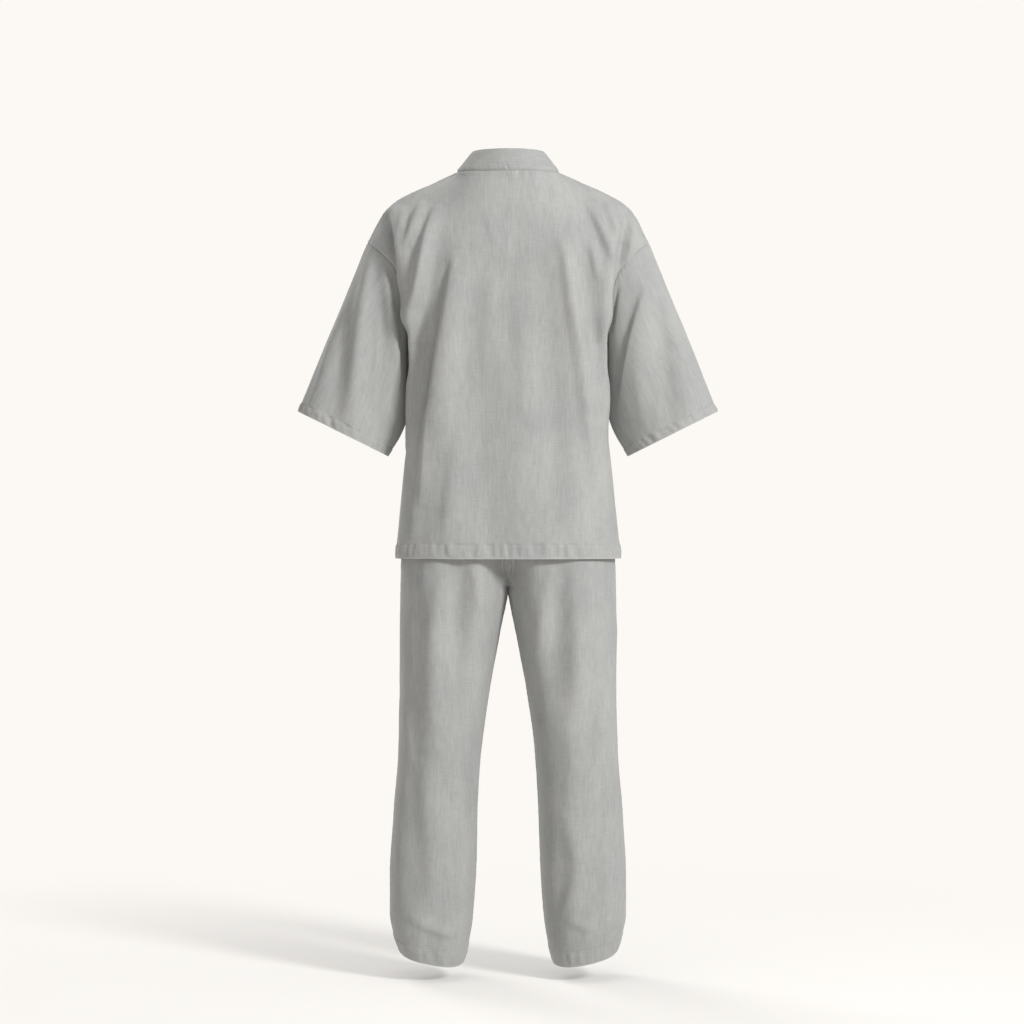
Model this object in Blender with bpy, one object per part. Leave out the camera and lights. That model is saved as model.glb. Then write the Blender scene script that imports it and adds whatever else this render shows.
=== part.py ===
# Kimono pyjama set, hollow and standing as it is worn: a wrap top with a band collar and wide
# half sleeves, and straight trousers with an elastic waist.
# Metres, +Z up. The front faces -Y and the left sleeve is at +X. The origin is the middle of the
# neck opening, level with the side neck points, where the top is held.

import math

import bmesh
import bpy
import numpy as np
from mathutils import Matrix


def table(names, *rows):
    """Named columns from rows of numbers."""
    return dict(zip(names.split(), np.array(rows, float).T))


# Cloth and seams
CLOTH = 0.0015
COLLAR_CLOTH = 0.0030
WAISTBAND_CLOTH = 0.0026
TAPE_CLOTH = 0.0016
SEAM_GAP = 0.0004
SAME_PLACE = 0.00005

# The top, from the side neck point down
HEM_Z = -0.745
VENT_HEIGHT = 0.060
VENT_GAPE = 0.0025
UNDERARM_Z = -0.335
TORSO_SQUARENESS = 3.0
SIDE_FOLD_ANGLE = math.radians(38)
LAYER_STEP = 0.0070
TORSO = table(
    "z half_width side back front",
    (-0.745, 0.2160, 0.2160, 0.1290, 0.1340),
    (-0.650, 0.2080, 0.2070, 0.1220, 0.1325),
    (-0.560, 0.2020, 0.1980, 0.1140, 0.1315),
    (-0.470, 0.1965, 0.1840, 0.1085, 0.1310),
    (-0.400, 0.1945, 0.1775, 0.1080, 0.1305),
    (-0.335, 0.1945, 0.1870, 0.1100, 0.1290),
    (-0.250, 0.2000, 0.1950, 0.1145, 0.1255),
    (-0.170, 0.2080, 0.2050, 0.1140, 0.1200),
    (-0.090, 0.2160, 0.2150, 0.1020, 0.1080),
    (-0.0045, 0.2200, 0.2200, 0.0750, 0.0850),
)

# Neck and shoulder seam. The shoulder falls from the neck point to the dropped armhole.
NECK_HALF = 0.098
NECK_POINT_Y = -0.005
NAPE_Y = 0.075
NAPE_Z = -0.0045
SHOULDER = table(
    "share x z",
    (0.00, 0.0980, 0.0000),
    (0.16, 0.1350, -0.0160),
    (0.48, 0.2010, -0.0465),
    (0.55, 0.2150, -0.0545),
    (0.67, 0.2370, -0.0735),
    (0.77, 0.2490, -0.0925),
    (0.87, 0.2590, -0.1120),
    (1.00, 0.2715, -0.1380),
)

# Armhole seam, from its lowest point up the back to the shoulder seam
FRONT_ARMHOLE = 0.95
ARMHOLE = table(
    "share x y z",
    (0.00, 0.1870, 0.0000, -0.3350),
    (0.15, 0.1895, 0.0300, -0.3000),
    (0.32, 0.1950, 0.0470, -0.2550),
    (0.48, 0.2045, 0.0550, -0.2150),
    (0.62, 0.2215, 0.0570, -0.1840),
    (0.76, 0.2440, 0.0475, -0.1600),
    (0.88, 0.2615, 0.0270, -0.1460),
    (1.00, 0.2715, 0.0000, -0.1380),
)

# Sleeve: a straight tube whose hem lies square across a line down and out from the shoulder
SLEEVE_OUTER = (0.4043, -0.4625)
SLEEVE_INNER = (0.2325, -0.5480)
SLEEVE_HEM_Y = -0.004
SLEEVE_HALF_DEPTH = 0.070
SLEEVE_HUG = 0.0225
SLEEVE_HUG_ANGLE = math.radians(32)
UNDERARM_STAND = 0.0020

# Wrap fronts and collar. The seam between front and collar runs down and across the chest.
CROSSING = 0.5
COLLAR_WIDTH = 0.050
COLLAR_LINE = table(
    "z x",
    (-0.745, -0.106),
    (-0.600, -0.101),
    (-0.500, -0.084),
    (-0.400, -0.049),
    (-0.300, -0.005),
    (-0.235, 0.024),
    (-0.168, 0.050),
)
NECK_LEAN = (-0.004, -0.055, -0.034)
COLLAR_TOP_HALF = 0.0685
COLLAR_TOP_SIDE_Y = -0.002
COLLAR_TOP_BACK_Y = 0.060
COLLAR_TOP_Z = 0.0380
COLLAR_TOP_LEAN = (-0.002, -0.050, -0.022)
SEAM_START_PULL = 0.055
TOP_START_PULL = (0.014, 0.008, 0.058)

# Trousers. Each row runs from the side seam to the inseam, or above the crotch to the centre
# seam, which drops forwards and back to the crotch point.
TROUSER_SQUARENESS = 2.4
TROUSER_HEM_Z = -1.501
CROTCH_Z = -0.805
WAIST_Z = -0.466
WAISTBAND_HEIGHT = 0.036
WAISTBAND_TOP_GROWTH = 0.002
HEM_TILT_X = 0.20
HEM_TILT_Y = -0.20
HEM_TILT_REACH = 0.150
TROUSER = table(
    "side_z outer inner inner_z mid_y back_in back front_in front",
    (-1.501, 0.2115, 0.0850, -1.501, 0.010, 0.0, 0.0760, 0.0, 0.0820),
    (-1.470, 0.2210, 0.0770, -1.470, 0.010, 0.0, 0.0820, 0.0, 0.0870),
    (-1.430, 0.2275, 0.0695, -1.430, 0.010, 0.0, 0.0860, 0.0, 0.0890),
    (-1.350, 0.2270, 0.0630, -1.350, 0.009, 0.0, 0.0880, 0.0, 0.0880),
    (-1.230, 0.2200, 0.0600, -1.230, 0.006, 0.0, 0.0900, 0.0, 0.0900),
    (-1.116, 0.2110, 0.0530, -1.116, 0.003, 0.0, 0.0940, 0.0, 0.0940),
    (-1.000, 0.2080, 0.0370, -1.000, 0.000, 0.0, 0.1000, 0.0, 0.0980),
    (-0.900, 0.2080, 0.0180, -0.900, 0.000, 0.0, 0.1060, 0.0, 0.1010),
    (-0.830, 0.2075, 0.0040, -0.830, 0.000, 0.0, 0.1090, 0.0, 0.1020),
    (-0.805, 0.2070, 0.0000, -0.805, 0.000, 0.0, 0.1100, 0.0, 0.1020),
    (-0.780, 0.2065, 0.0000, -0.797, 0.000, 0.0300, 0.1095, 0.0300, 0.1030),
    (-0.755, 0.2060, 0.0000, -0.783, 0.000, 0.0580, 0.1110, 0.0550, 0.1040),
    (-0.730, 0.2055, 0.0000, -0.759, 0.000, 0.0820, 0.1125, 0.0780, 0.1050),
    (-0.700, 0.2035, 0.0000, -0.724, 0.000, 0.0990, 0.1138, 0.0940, 0.1060),
    (-0.660, 0.1995, 0.0000, -0.673, 0.000, 0.1110, 0.1145, 0.1040, 0.1068),
    (-0.610, 0.1930, 0.0000, -0.615, 0.000, 0.1115, 0.1120, 0.1070, 0.1074),
    (-0.550, 0.1820, 0.0000, -0.551, 0.000, 0.1045, 0.1047, 0.1060, 0.1062),
    (-0.500, 0.1715, 0.0000, -0.500, 0.000, 0.0980, 0.0980, 0.1030, 0.1030),
    (-0.466, 0.1640, 0.0000, -0.466, 0.000, 0.0945, 0.0945, 0.0990, 0.0990),
)

# Ties: two tapes knotted in a bow at the edge of the overlap, on the right
TAPE_WIDTH = 0.012
TIE_X = -0.138
TIE_Z = -0.455
KNOT = (0.017, 0.011, 0.018)
KNOT_LIFT = 0.0102
KNOT_ROUNDING = 0.003
LOOP_REACH = 0.032
LOOP_DROP = 0.026
LOOP_START = 0.0098
TIE_LEFT = table(
    "aside drop lift layer",
    (0.034, 0.0, 0.0027, 0.0),
    (0.022, 0.0, 0.0036, 0.0),
    (0.0084, 0.0, 0.0086, 0.0),
)
TIE_RIGHT = table(
    "aside drop lift layer",
    (-0.040, 0.0, 0.0019, 1.0),
    (-0.026, 0.0, 0.0030, 0.6),
    (-0.0084, 0.0, 0.0086, 0.0),
)
LOOP = table(
    "share lift",
    (0.00, 0.0142),
    (0.45, 0.0170),
    (0.90, 0.0156),
    (1.00, 0.0120),
    (0.90, 0.0084),
    (0.45, 0.0090),
    (0.00, 0.0116),
)
TIE_END = table(
    "share aside drop",
    (0.0, 0.0068, 0.004),
    (0.2, 0.0090, 0.026),
    (0.5, 0.0140, 0.060),
    (1.0, 0.0190, 0.115),
)
TIE_END_LIFT = 0.0034
TIE_END_STEPS = 5

# How finely each piece is cut up
NECK_STEPS = 5
SHOULDER_STEPS = 10
SIDE_STEPS = 9
ARMHOLE_STEPS = 10
SLEEVE_STEPS = 9
LEG_STEPS = 14
CROTCH_STEPS = 6
HIP_STEPS = 5
TROUSER_ACROSS = 13
HIP_Z = -0.660

# Largest folds, seen from behind or from the front. A positive lift is a ridge.
FOLD_FADE = 0.2
SLEEVE_FOLD_FADE = 0.3
SLEEVE_FOLD_DEPTH = 0.045
FOLD_COLUMNS = "x_top z_top x_foot z_foot reach lift"
BACK_FOLDS = table(
    FOLD_COLUMNS,
    (0.134, -0.160, 0.182, -0.480, 0.026, -0.0105),
    (0.096, -0.200, 0.134, -0.600, 0.028, 0.0060),
    (0.148, -0.440, 0.156, -0.745, 0.028, -0.0118),
    (0.048, -0.320, 0.038, -0.745, 0.034, -0.0045),
    (-0.104, -0.170, -0.142, -0.520, 0.028, 0.0070),
    (-0.136, -0.180, -0.172, -0.420, 0.022, -0.0080),
    (-0.066, -0.230, -0.090, -0.600, 0.030, -0.0060),
    (-0.040, -0.480, -0.036, -0.745, 0.034, 0.0050),
)
FRONT_FOLDS = table(
    FOLD_COLUMNS,
    (0.135, -0.170, 0.168, -0.520, 0.028, -0.0085),
    (0.105, -0.280, 0.120, -0.745, 0.032, 0.0055),
    (0.120, -0.340, -0.020, -0.430, 0.026, -0.0045),
    (-0.140, -0.165, -0.140, -0.390, 0.026, -0.0060),
    (-0.160, -0.560, -0.185, -0.745, 0.026, 0.0035),
)
LEFT_SLEEVE_FOLDS = table(
    FOLD_COLUMNS,
    (0.268, -0.180, 0.306, -0.520, 0.022, 0.0075),
    (0.294, -0.210, 0.340, -0.500, 0.022, -0.0090),
    (0.248, -0.250, 0.262, -0.450, 0.020, -0.0055),
)
RIGHT_SLEEVE_FOLDS = table(
    FOLD_COLUMNS,
    (-0.276, -0.190, -0.310, -0.480, 0.022, -0.0068),
    (-0.302, -0.210, -0.352, -0.480, 0.022, 0.0060),
    (-0.232, -0.260, -0.226, -0.420, 0.020, -0.0042),
)
LEFT_TROUSER_FOLDS = table(
    FOLD_COLUMNS,
    (0.056, -0.730, 0.062, -0.900, 0.022, 0.0055),
    (0.095, -0.740, 0.096, -1.010, 0.022, -0.0075),
    (0.140, -0.740, 0.140, -1.040, 0.024, 0.0060),
    (0.176, -0.700, 0.178, -1.180, 0.022, -0.0085),
    (0.186, -1.120, 0.180, -1.380, 0.026, -0.0050),
    (0.118, -1.360, 0.146, -1.500, 0.024, -0.0075),
)
RIGHT_TROUSER_FOLDS = table(
    FOLD_COLUMNS,
    (-0.054, -0.740, -0.050, -0.910, 0.022, 0.0060),
    (-0.092, -0.740, -0.092, -1.000, 0.022, -0.0075),
    (-0.126, -0.760, -0.128, -1.040, 0.022, 0.0055),
    (-0.188, -0.860, -0.160, -1.120, 0.022, -0.0070),
    (-0.106, -1.290, -0.096, -1.440, 0.024, -0.0070),
)

GREY_CHAMBRAY = (0.46, 0.46, 0.44, 1.0)
GREY_DARKER = (0.40, 0.40, 0.385, 1.0)


def spline(knots, values, at):
    """A smooth curve through the values that never overshoots them."""
    knots, values, at = (np.asarray(a, float) for a in (knots, values, at))
    step = np.diff(knots)
    slope = np.diff(values) / step
    tangent = np.zeros(len(values))
    tangent[0], tangent[-1] = slope[0], slope[-1]
    for i in range(1, len(values) - 1):
        if slope[i - 1] * slope[i] > 0:
            near, far = 2 * step[i] + step[i - 1], step[i] + 2 * step[i - 1]
            tangent[i] = (near + far) / (near / slope[i - 1] + far / slope[i])
    i = np.clip(np.searchsorted(knots, at) - 1, 0, len(step) - 1)
    t = np.clip((at - knots[i]) / step[i], 0, 1)
    start = (1 + 2 * t) * (1 - t) ** 2 * values[i] + t * (1 - t) ** 2 * step[i] * tangent[i]
    end = t * t * (3 - 2 * t) * values[i + 1] - t * t * (1 - t) * step[i] * tangent[i + 1]
    return start + end


def read(source, key, name, at):
    """Column `name` of a table at `at` along its column `key`."""
    return spline(source[key], source[name], at)


def smooth(t):
    t = np.clip(t, 0, 1)
    return t * t * (3 - 2 * t)


def power(value, exponent):
    return np.sign(value) * np.abs(value) ** exponent


def mix(a, b, share):
    return a + (b - a) * share


def bezier(start, start_pull, end_pull, end, t):
    """The point at t on a cubic curve, whose pulls are offsets from its two ends."""
    start, end = np.asarray(start), np.asarray(end)
    near, far = start + start_pull, end + end_pull
    s = 1 - t
    return s**3 * start + 3 * s * s * t * near + 3 * s * t * t * far + t**3 * end


# The top. A rise of 0 is the hem, 1 the underarm and 2 the shoulder seam.


def armhole_point(share, face):
    """A point of the left armhole seam. face is 1 at the back and -1 at the front."""
    depth = 1.0 if face > 0 else -FRONT_ARMHOLE
    x, y, z = (read(ARMHOLE, "share", name, share) for name in "xyz")
    return np.array([x, y * depth, z])


def section(rise, face, layer=0):
    """Sizes of one row: its outer end, half width, depth and centre height."""
    share = max(0.0, rise - 1)
    if rise <= 1:
        z = mix(HEM_Z, UNDERARM_Z, rise)
        vent = max(0.0, 1 - (z - HEM_Z) / VENT_HEIGHT)
        end = np.array([read(TORSO, "z", "side", z), face * VENT_GAPE * vent, z])
        widest_z = z
    else:
        z = mix(UNDERARM_Z, NAPE_Z, share)
        end = armhole_point(share, face)
        widest_z = mix(z, end[2], 0.6)
    depth = read(TORSO, "z", "back" if face > 0 else "front", z) - layer * LAYER_STEP
    half_width = read(TORSO, "z", "half_width", widest_z)
    return {"end": end, "half_width": half_width, "depth": face * depth, "z": z}


def across(row, angle):
    """Points of a row, from its outer end at angle 0 to the centre line at 90 degrees and on."""
    angle = np.asarray(angle, float)
    end, roundness = row["end"], 2 / TORSO_SQUARENESS
    cosine, sine = power(np.cos(angle), roundness), power(np.sin(angle), roundness)
    side_fold = np.clip(1 - angle / SIDE_FOLD_ANGLE, 0, 1) ** 2
    to_centre = 1 - np.abs(1 - 2 * angle / math.pi)
    x = row["half_width"] * cosine + (end[0] - row["half_width"]) * side_fold
    y = end[1] + (row["depth"] - end[1]) * sine
    z = mix(end[2], row["z"], 1 - (1 - to_centre) ** 1.5)
    return np.stack([x, y, z], -1)


def angle_at(row, x):
    """The angle at which a row reaches x, near the centre line or past it."""
    return math.acos(power(x / row["half_width"], TORSO_SQUARENESS / 2))


def neck_arc(share):
    """The neck seam from the nape, share 0, to the side neck point, share 1."""
    turn = np.asarray(share) * math.pi / 2
    x = NECK_HALF * np.sin(turn)
    y = mix(NECK_POINT_Y, NAPE_Y, np.cos(turn))
    return np.stack([x, y, NAPE_Z * np.cos(turn)], -1)


def shoulder_line(share):
    """The shoulder seam from the neck point, share 0, to the armhole, share 1."""
    x, z = (read(SHOULDER, "share", name, share) for name in "xz")
    return np.stack([x, NECK_POINT_Y * (1 - np.asarray(share)), z], -1)


def toward_shoulder(row_points, top_points, rise):
    """A row drawn towards the shape of the shoulder seam as it comes near it."""
    weight = max(0.0, rise - 1) ** 3
    share = np.linspace(0, 1, len(row_points))[:, None]
    top_bend = top_points - mix(top_points[0], top_points[-1], share)
    chord = mix(row_points[0], row_points[-1], share)
    return mix(row_points, chord + top_bend, weight)


def rises():
    """The rise of each row of the top's panels, with one at the vent's head."""
    vent_head = VENT_HEIGHT / (UNDERARM_Z - HEM_Z)
    low = np.linspace(vent_head, 1, SIDE_STEPS)
    return np.concatenate([[0, vent_head / 2], low, 1 + np.arange(1, ARMHOLE_STEPS + 1) / ARMHOLE_STEPS])


def back_panel():
    """Left back, from the centre-back seam to the side seam and armhole."""
    share = np.arange(NECK_STEPS + SHOULDER_STEPS + 1) / (NECK_STEPS + SHOULDER_STEPS)
    neck = neck_arc(np.arange(NECK_STEPS) / NECK_STEPS)
    shoulder = shoulder_line(np.arange(SHOULDER_STEPS + 1) / SHOULDER_STEPS)
    top = np.concatenate([neck, shoulder])
    rows = []
    for rise in rises():
        row = section(rise, 1)
        rows.append(toward_shoulder(across(row, (1 - share) * math.pi / 2), top, rise))
    return np.array(rows)


def collar_seam(rise, layer):
    """Where the left front meets the collar; it crosses to the right as it goes down."""
    if rise <= 1 + CROSSING:
        row = section(rise, -1, layer)
        return across(row, angle_at(row, read(COLLAR_LINE, "z", "x", row["z"])))
    start = collar_seam(1 + CROSSING, layer)
    before = collar_seam(1 + CROSSING - 0.05, layer)
    pull = (start - before) / np.linalg.norm(start - before) * SEAM_START_PULL
    end = neck_arc(1.0)
    return bezier(start, pull, NECK_LEAN, end, (rise - 1 - CROSSING) / (1 - CROSSING))


def front_panel(layer):
    """Left front, from the side seam and armhole to the collar seam."""
    share = np.linspace(0, 1, SHOULDER_STEPS + 1)
    top = shoulder_line(1 - share)
    rows = []
    for rise in rises():
        row = section(rise, -1, layer)
        seam = collar_seam(rise, layer)
        last = angle_at(row, seam[0])
        points = across(row, share * last)
        points += share[:, None] ** 2 * (seam - points[-1])
        rows.append(toward_shoulder(points, top, rise))
    return np.array(rows)


def collar_top(rise, layer):
    """The collar's free edge on the left front."""
    if rise <= 1 + CROSSING:
        row = section(rise, -1, layer)
        z, step = row["z"], 0.01
        slant = (read(COLLAR_LINE, "z", "x", z) - read(COLLAR_LINE, "z", "x", z - step)) / step
        x = read(COLLAR_LINE, "z", "x", z) - COLLAR_WIDTH * math.hypot(1, slant)
        return across(row, angle_at(row, x))
    start = collar_top(1 + CROSSING, layer)
    end = collar_top_arc(1.0)
    return bezier(start, TOP_START_PULL, COLLAR_TOP_LEAN, end, (rise - 1 - CROSSING) / (1 - CROSSING))


def collar_top_arc(share):
    """The collar's free edge round the back of the neck, from the middle to the side."""
    turn = share * math.pi / 2
    y = mix(COLLAR_TOP_SIDE_Y, COLLAR_TOP_BACK_Y, math.cos(turn))
    return np.array([COLLAR_TOP_HALF * math.sin(turn), y, COLLAR_TOP_Z])


def collar_half(layer):
    """Collar from the left hem up to the middle of the back: seam edge, middle, free edge."""
    rows = []
    for rise in rises():
        seam, free = collar_seam(rise, layer), collar_top(rise, layer)
        middle = (seam + free) / 2
        if rise <= 1 + CROSSING:
            row = section(rise, -1, layer)
            middle = across(row, (angle_at(row, seam[0]) + angle_at(row, free[0])) / 2)
        rows.append([seam, middle, free])
    for step in range(NECK_STEPS - 1, -1, -1):
        share = step / NECK_STEPS
        seam, free = neck_arc(share), collar_top_arc(share)
        rows.append([seam, (seam + free) / 2, free])
    return np.array(rows)


def mirrored(grid):
    return grid * np.array([-1, 1, 1])


def collar():
    """One band from the left hem round the neck to the right hem, under the left front."""
    left, right = collar_half(0), mirrored(collar_half(1))
    return np.concatenate([left, right[-2::-1]])


def sleeve():
    """Left sleeve: rings from the armhole to the hem, each from the underarm up the back."""
    shares = np.arange(ARMHOLE_STEPS + 1) / ARMHOLE_STEPS
    back = [armhole_point(s, 1) for s in shares]
    front = [armhole_point(s, -1) for s in shares[-2:0:-1]]
    armhole = np.array(back + front)
    turn = np.linspace(0, 2 * math.pi, len(armhole), endpoint=False)
    outer, inner = np.array(SLEEVE_OUTER), np.array(SLEEVE_INNER)
    centre, half = (outer + inner) / 2, (outer - inner) / 2
    x = centre[0] - half[0] * np.cos(turn)
    z = centre[1] - half[1] * np.cos(turn)
    hem = np.stack([x, SLEEVE_HEM_Y + SLEEVE_HALF_DEPTH * np.sin(turn), z], -1)
    from_underarm = np.minimum(turn, 2 * math.pi - turn)
    hug = SLEEVE_HUG * np.exp(-((from_underarm / SLEEVE_HUG_ANGLE) ** 2))
    rings = []
    for s in np.linspace(0, 1, SLEEVE_STEPS + 1):
        ring = mix(armhole, hem, s)
        ring[:, 0] -= hug * math.sin(math.pi * s**1.5)
        rings.append(ring)
    return np.array(rings)


def sleeve_stand():
    """How far the sleeve stands off the side of the top below the armhole, wall beside wall."""
    turn = np.linspace(0, 2 * math.pi, 2 * ARMHOLE_STEPS, endpoint=False)
    near_underarm = 1 - smooth(np.minimum(turn, 2 * math.pi - turn) / (math.pi / 2))
    shift = np.zeros((SLEEVE_STEPS + 1, len(turn), 3))
    shift[..., 0] = UNDERARM_STAND * near_underarm * np.linspace(1, 0, SLEEVE_STEPS + 1)[:, None]
    return shift


# The trousers


def trouser_rows():
    low = np.linspace(TROUSER_HEM_Z, CROTCH_Z, LEG_STEPS + 1)
    middle = np.linspace(CROTCH_Z, HIP_Z, CROTCH_STEPS + 1)[1:]
    high = np.linspace(HIP_Z, WAIST_Z, HIP_STEPS + 1)[1:]
    return np.concatenate([low, middle, high])


def trouser_row(side_z, face, share):
    """One row of a left trouser panel, from the side seam to the inseam or centre seam."""
    part = "back" if face > 0 else "front"
    outer, inner, inner_z, mid_y, inner_y, depth = (
        read(TROUSER, "side_z", name, side_z)
        for name in ("outer", "inner", "inner_z", "mid_y", part + "_in", part)
    )
    roundness = 2 / TROUSER_SQUARENESS
    last = math.pi - math.asin(min(1.0, (inner_y / depth) ** (1 / roundness)))
    width = (outer - inner) / (1 + abs(math.cos(last)) ** roundness)
    angle = share * last
    x = outer - width + width * power(np.cos(angle), roundness)
    y = mid_y + face * depth * power(np.sin(angle), roundness)
    z = mix(side_z, inner_z, share**2)
    fade = np.clip(1 - (side_z - TROUSER_HEM_Z) / HEM_TILT_REACH, 0, 1) ** 2
    z += fade * (HEM_TILT_X * (x - (outer + inner) / 2) + HEM_TILT_Y * (y - mid_y))
    return np.stack([x, y, z], -1)


def trouser_panel(face):
    share = np.linspace(0, 1, TROUSER_ACROSS + 1)
    return np.array([trouser_row(z, face, share) for z in trouser_rows()])


def waistband():
    """A ring above the panels' top edges: left back, right back, right front, left front."""
    back, front = trouser_panel(1)[-1], trouser_panel(-1)[-1]
    ring = np.concatenate([back[:-1], mirrored(back)[:0:-1], mirrored(front)[:-1], front[:0:-1]])
    rings = []
    for share in (0.0, 0.5, 1.0):
        grown = ring.copy()
        outward = ring[:, :2] / np.linalg.norm(ring[:, :2], axis=1)[:, None]
        grown[:, :2] += outward * WAISTBAND_TOP_GROWTH * share
        grown[:, 2] += WAISTBAND_HEIGHT * share
        rings.append(grown)
    return np.array(rings)


# Folds


def fold_lift(points, folds):
    """How far each point moves out for the folds, judged by its x and z alone."""
    lift = np.zeros(points.shape[:-1])
    flat = points[..., [0, 2]]
    for x_top, z_top, x_foot, z_foot, reach, height in zip(*folds.values()):
        start, run = np.array([x_top, z_top]), np.array([x_foot - x_top, z_foot - z_top])
        along = np.clip(((flat - start) @ run) / (run @ run), 0, 1)
        away = np.linalg.norm(flat - start - along[..., None] * run, axis=-1)
        lift += height * np.exp(-((away / reach) ** 2)) * np.sin(math.pi * (0.12 + 0.76 * along))
    return lift


def folded(grid, folds, across_first_edge=False):
    """A panel with its folds, which die out at its seams, but not at its hem."""
    rows, columns = grid.shape[:2]
    u = np.linspace(0, 1, columns)
    to_first = 1.0 if across_first_edge else smooth(u / FOLD_FADE)
    to_top = smooth(np.linspace(1, 0, rows) / FOLD_FADE)[:, None]
    fade = to_first * smooth((1 - u) / FOLD_FADE) * to_top
    face = np.sign(grid[..., 1].mean())
    moved = grid.copy()
    moved[..., 1] += face * fade * fold_lift(grid, folds)
    return moved


def folded_sleeve(rings, folds):
    """Sleeve rings with their folds, which die out at the armhole."""
    fade = smooth(np.linspace(0, 1, len(rings)) / SLEEVE_FOLD_FADE)[:, None]
    centre = rings.mean(axis=1, keepdims=True)
    outwards = np.clip((rings[..., 1] - centre[..., 1]) / SLEEVE_FOLD_DEPTH, -1, 1)
    moved = rings.copy()
    moved[..., 1] += outwards * fade * fold_lift(rings, folds)
    return moved


# From grids to walls


def normals(grid, ring, heart):
    """Unit normals of a grid's points, away from heart, a point inside for each row."""
    along = np.gradient(grid, axis=0)
    if ring:
        over = np.roll(grid, -1, axis=1) - np.roll(grid, 1, axis=1)
    else:
        over = np.gradient(grid, axis=1)
    normal = np.cross(over, along)
    normal /= np.linalg.norm(normal, axis=-1, keepdims=True)
    outward = np.sum(normal * (grid - heart[:, None, :]))
    return normal if outward > 0 else -normal


def sew(pieces):
    """Points that two pieces share at a seam get one normal, so their edges face each other."""
    shared = {}
    for piece in pieces:
        for place, normal in zip(piece["grid"].reshape(-1, 3), piece["normal"].reshape(-1, 3)):
            key = tuple(np.round(place / SAME_PLACE).astype(int))
            shared[key] = shared.get(key, 0) + normal
    for piece in pieces:
        flat = piece["normal"].reshape(-1, 3)
        for i, place in enumerate(piece["grid"].reshape(-1, 3)):
            flat[i] = shared[tuple(np.round(place / SAME_PLACE).astype(int))]
        flat /= np.linalg.norm(flat, axis=1, keepdims=True)


def along_border(points, closed):
    """The direction in which a border runs, at each of its points."""
    if closed:
        return np.roll(points, -1, axis=0) - np.roll(points, 1, axis=0)
    return np.gradient(points, axis=0)


def pulled_back(grid, normal, ring):
    """The grid with each border moved half a seam gap back from the seam."""
    moved = grid.copy()
    borders = [(0, 1, ring), (-1, -2, ring)]
    if not ring:
        borders += [((slice(None), 0), (slice(None), 1), False)]
        borders += [((slice(None), -1), (slice(None), -2), False)]
    for edge, inner, closed in borders:
        step = np.cross(along_border(grid[edge], closed), normal[edge])
        step /= np.linalg.norm(step, axis=-1, keepdims=True)
        inwards = np.sign(np.sum(step * (grid[inner] - grid[edge])))
        moved[edge] += inwards * step * SEAM_GAP / 2
    return moved


def wall(piece):
    """The piece's closed solid: outer and inner skins half the cloth away from its grid."""
    grid = pulled_back(piece["grid"], piece["normal"], piece["ring"]) + piece["shift"]
    half = piece["normal"] * piece["cloth"] / 2
    rows, columns = grid.shape[:2]
    mesh = bmesh.new()
    outer = [[mesh.verts.new(p) for p in row] for row in grid + half]
    inner = [[mesh.verts.new(p) for p in row] for row in grid - half]
    last = columns if piece["ring"] else columns - 1
    for j in range(rows - 1):
        for i in range(last):
            n = (i + 1) % columns
            mesh.faces.new((outer[j][i], outer[j][n], outer[j + 1][n], outer[j + 1][i]))
            mesh.faces.new((inner[j][i], inner[j + 1][i], inner[j + 1][n], inner[j][n]))
    for j in (0, rows - 1):
        for i in range(last):
            n = (i + 1) % columns
            mesh.faces.new((outer[j][i], inner[j][i], inner[j][n], outer[j][n]))
    if not piece["ring"]:
        for i in (0, columns - 1):
            for j in range(rows - 1):
                mesh.faces.new((outer[j][i], outer[j + 1][i], inner[j + 1][i], inner[j][i]))
    finish(mesh, piece["name"], piece["colour"])


def finish(mesh, name, colour):
    """A closed mesh becomes a named object with its own material."""
    bmesh.ops.recalc_face_normals(mesh, faces=mesh.faces)
    data = bpy.data.meshes.new(name)
    mesh.to_mesh(data)
    mesh.free()
    data.shade_smooth()
    data.set_sharp_from_angle(angle=math.radians(50))
    material = bpy.data.materials.new(name)
    material.use_nodes = True
    shader = material.node_tree.nodes["Principled BSDF"]
    shader.inputs["Base Color"].default_value = colour
    shader.inputs["Roughness"].default_value = 0.9
    shader.inputs["Metallic"].default_value = 0.0
    data.materials.append(material)
    bpy.context.scene.collection.objects.link(bpy.data.objects.new(name, data))


def cut(name, grid, heart_x=0.0, cloth=CLOTH, ring=False, colour=GREY_CHAMBRAY, shift=0.0):
    """A piece ready to sew, and shifted once it is sewn. heart_x is the middle of what it wraps."""
    heart = np.zeros((len(grid), 3))
    heart[:, 2] = grid[..., 2].mean(axis=1)
    heart[:, 0] = heart_x
    return {
        "name": name,
        "grid": grid,
        "normal": normals(grid, ring, heart),
        "cloth": cloth,
        "ring": ring,
        "colour": colour,
        "shift": shift,
    }


# The bow


def front_surface(x, z, lift, layer):
    """A point over the front at x and z, moved out by lift. Layer 1 is the under front."""
    row = section((z - HEM_Z) / (UNDERARM_Z - HEM_Z), -1, layer)
    place, beside = across(row, angle_at(row, x)), across(row, angle_at(row, x + 0.002))
    normal = np.cross(beside - place, (0, 0, 1))
    normal *= np.sign(-normal[1]) / np.linalg.norm(normal)
    return place + normal * lift, normal


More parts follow.
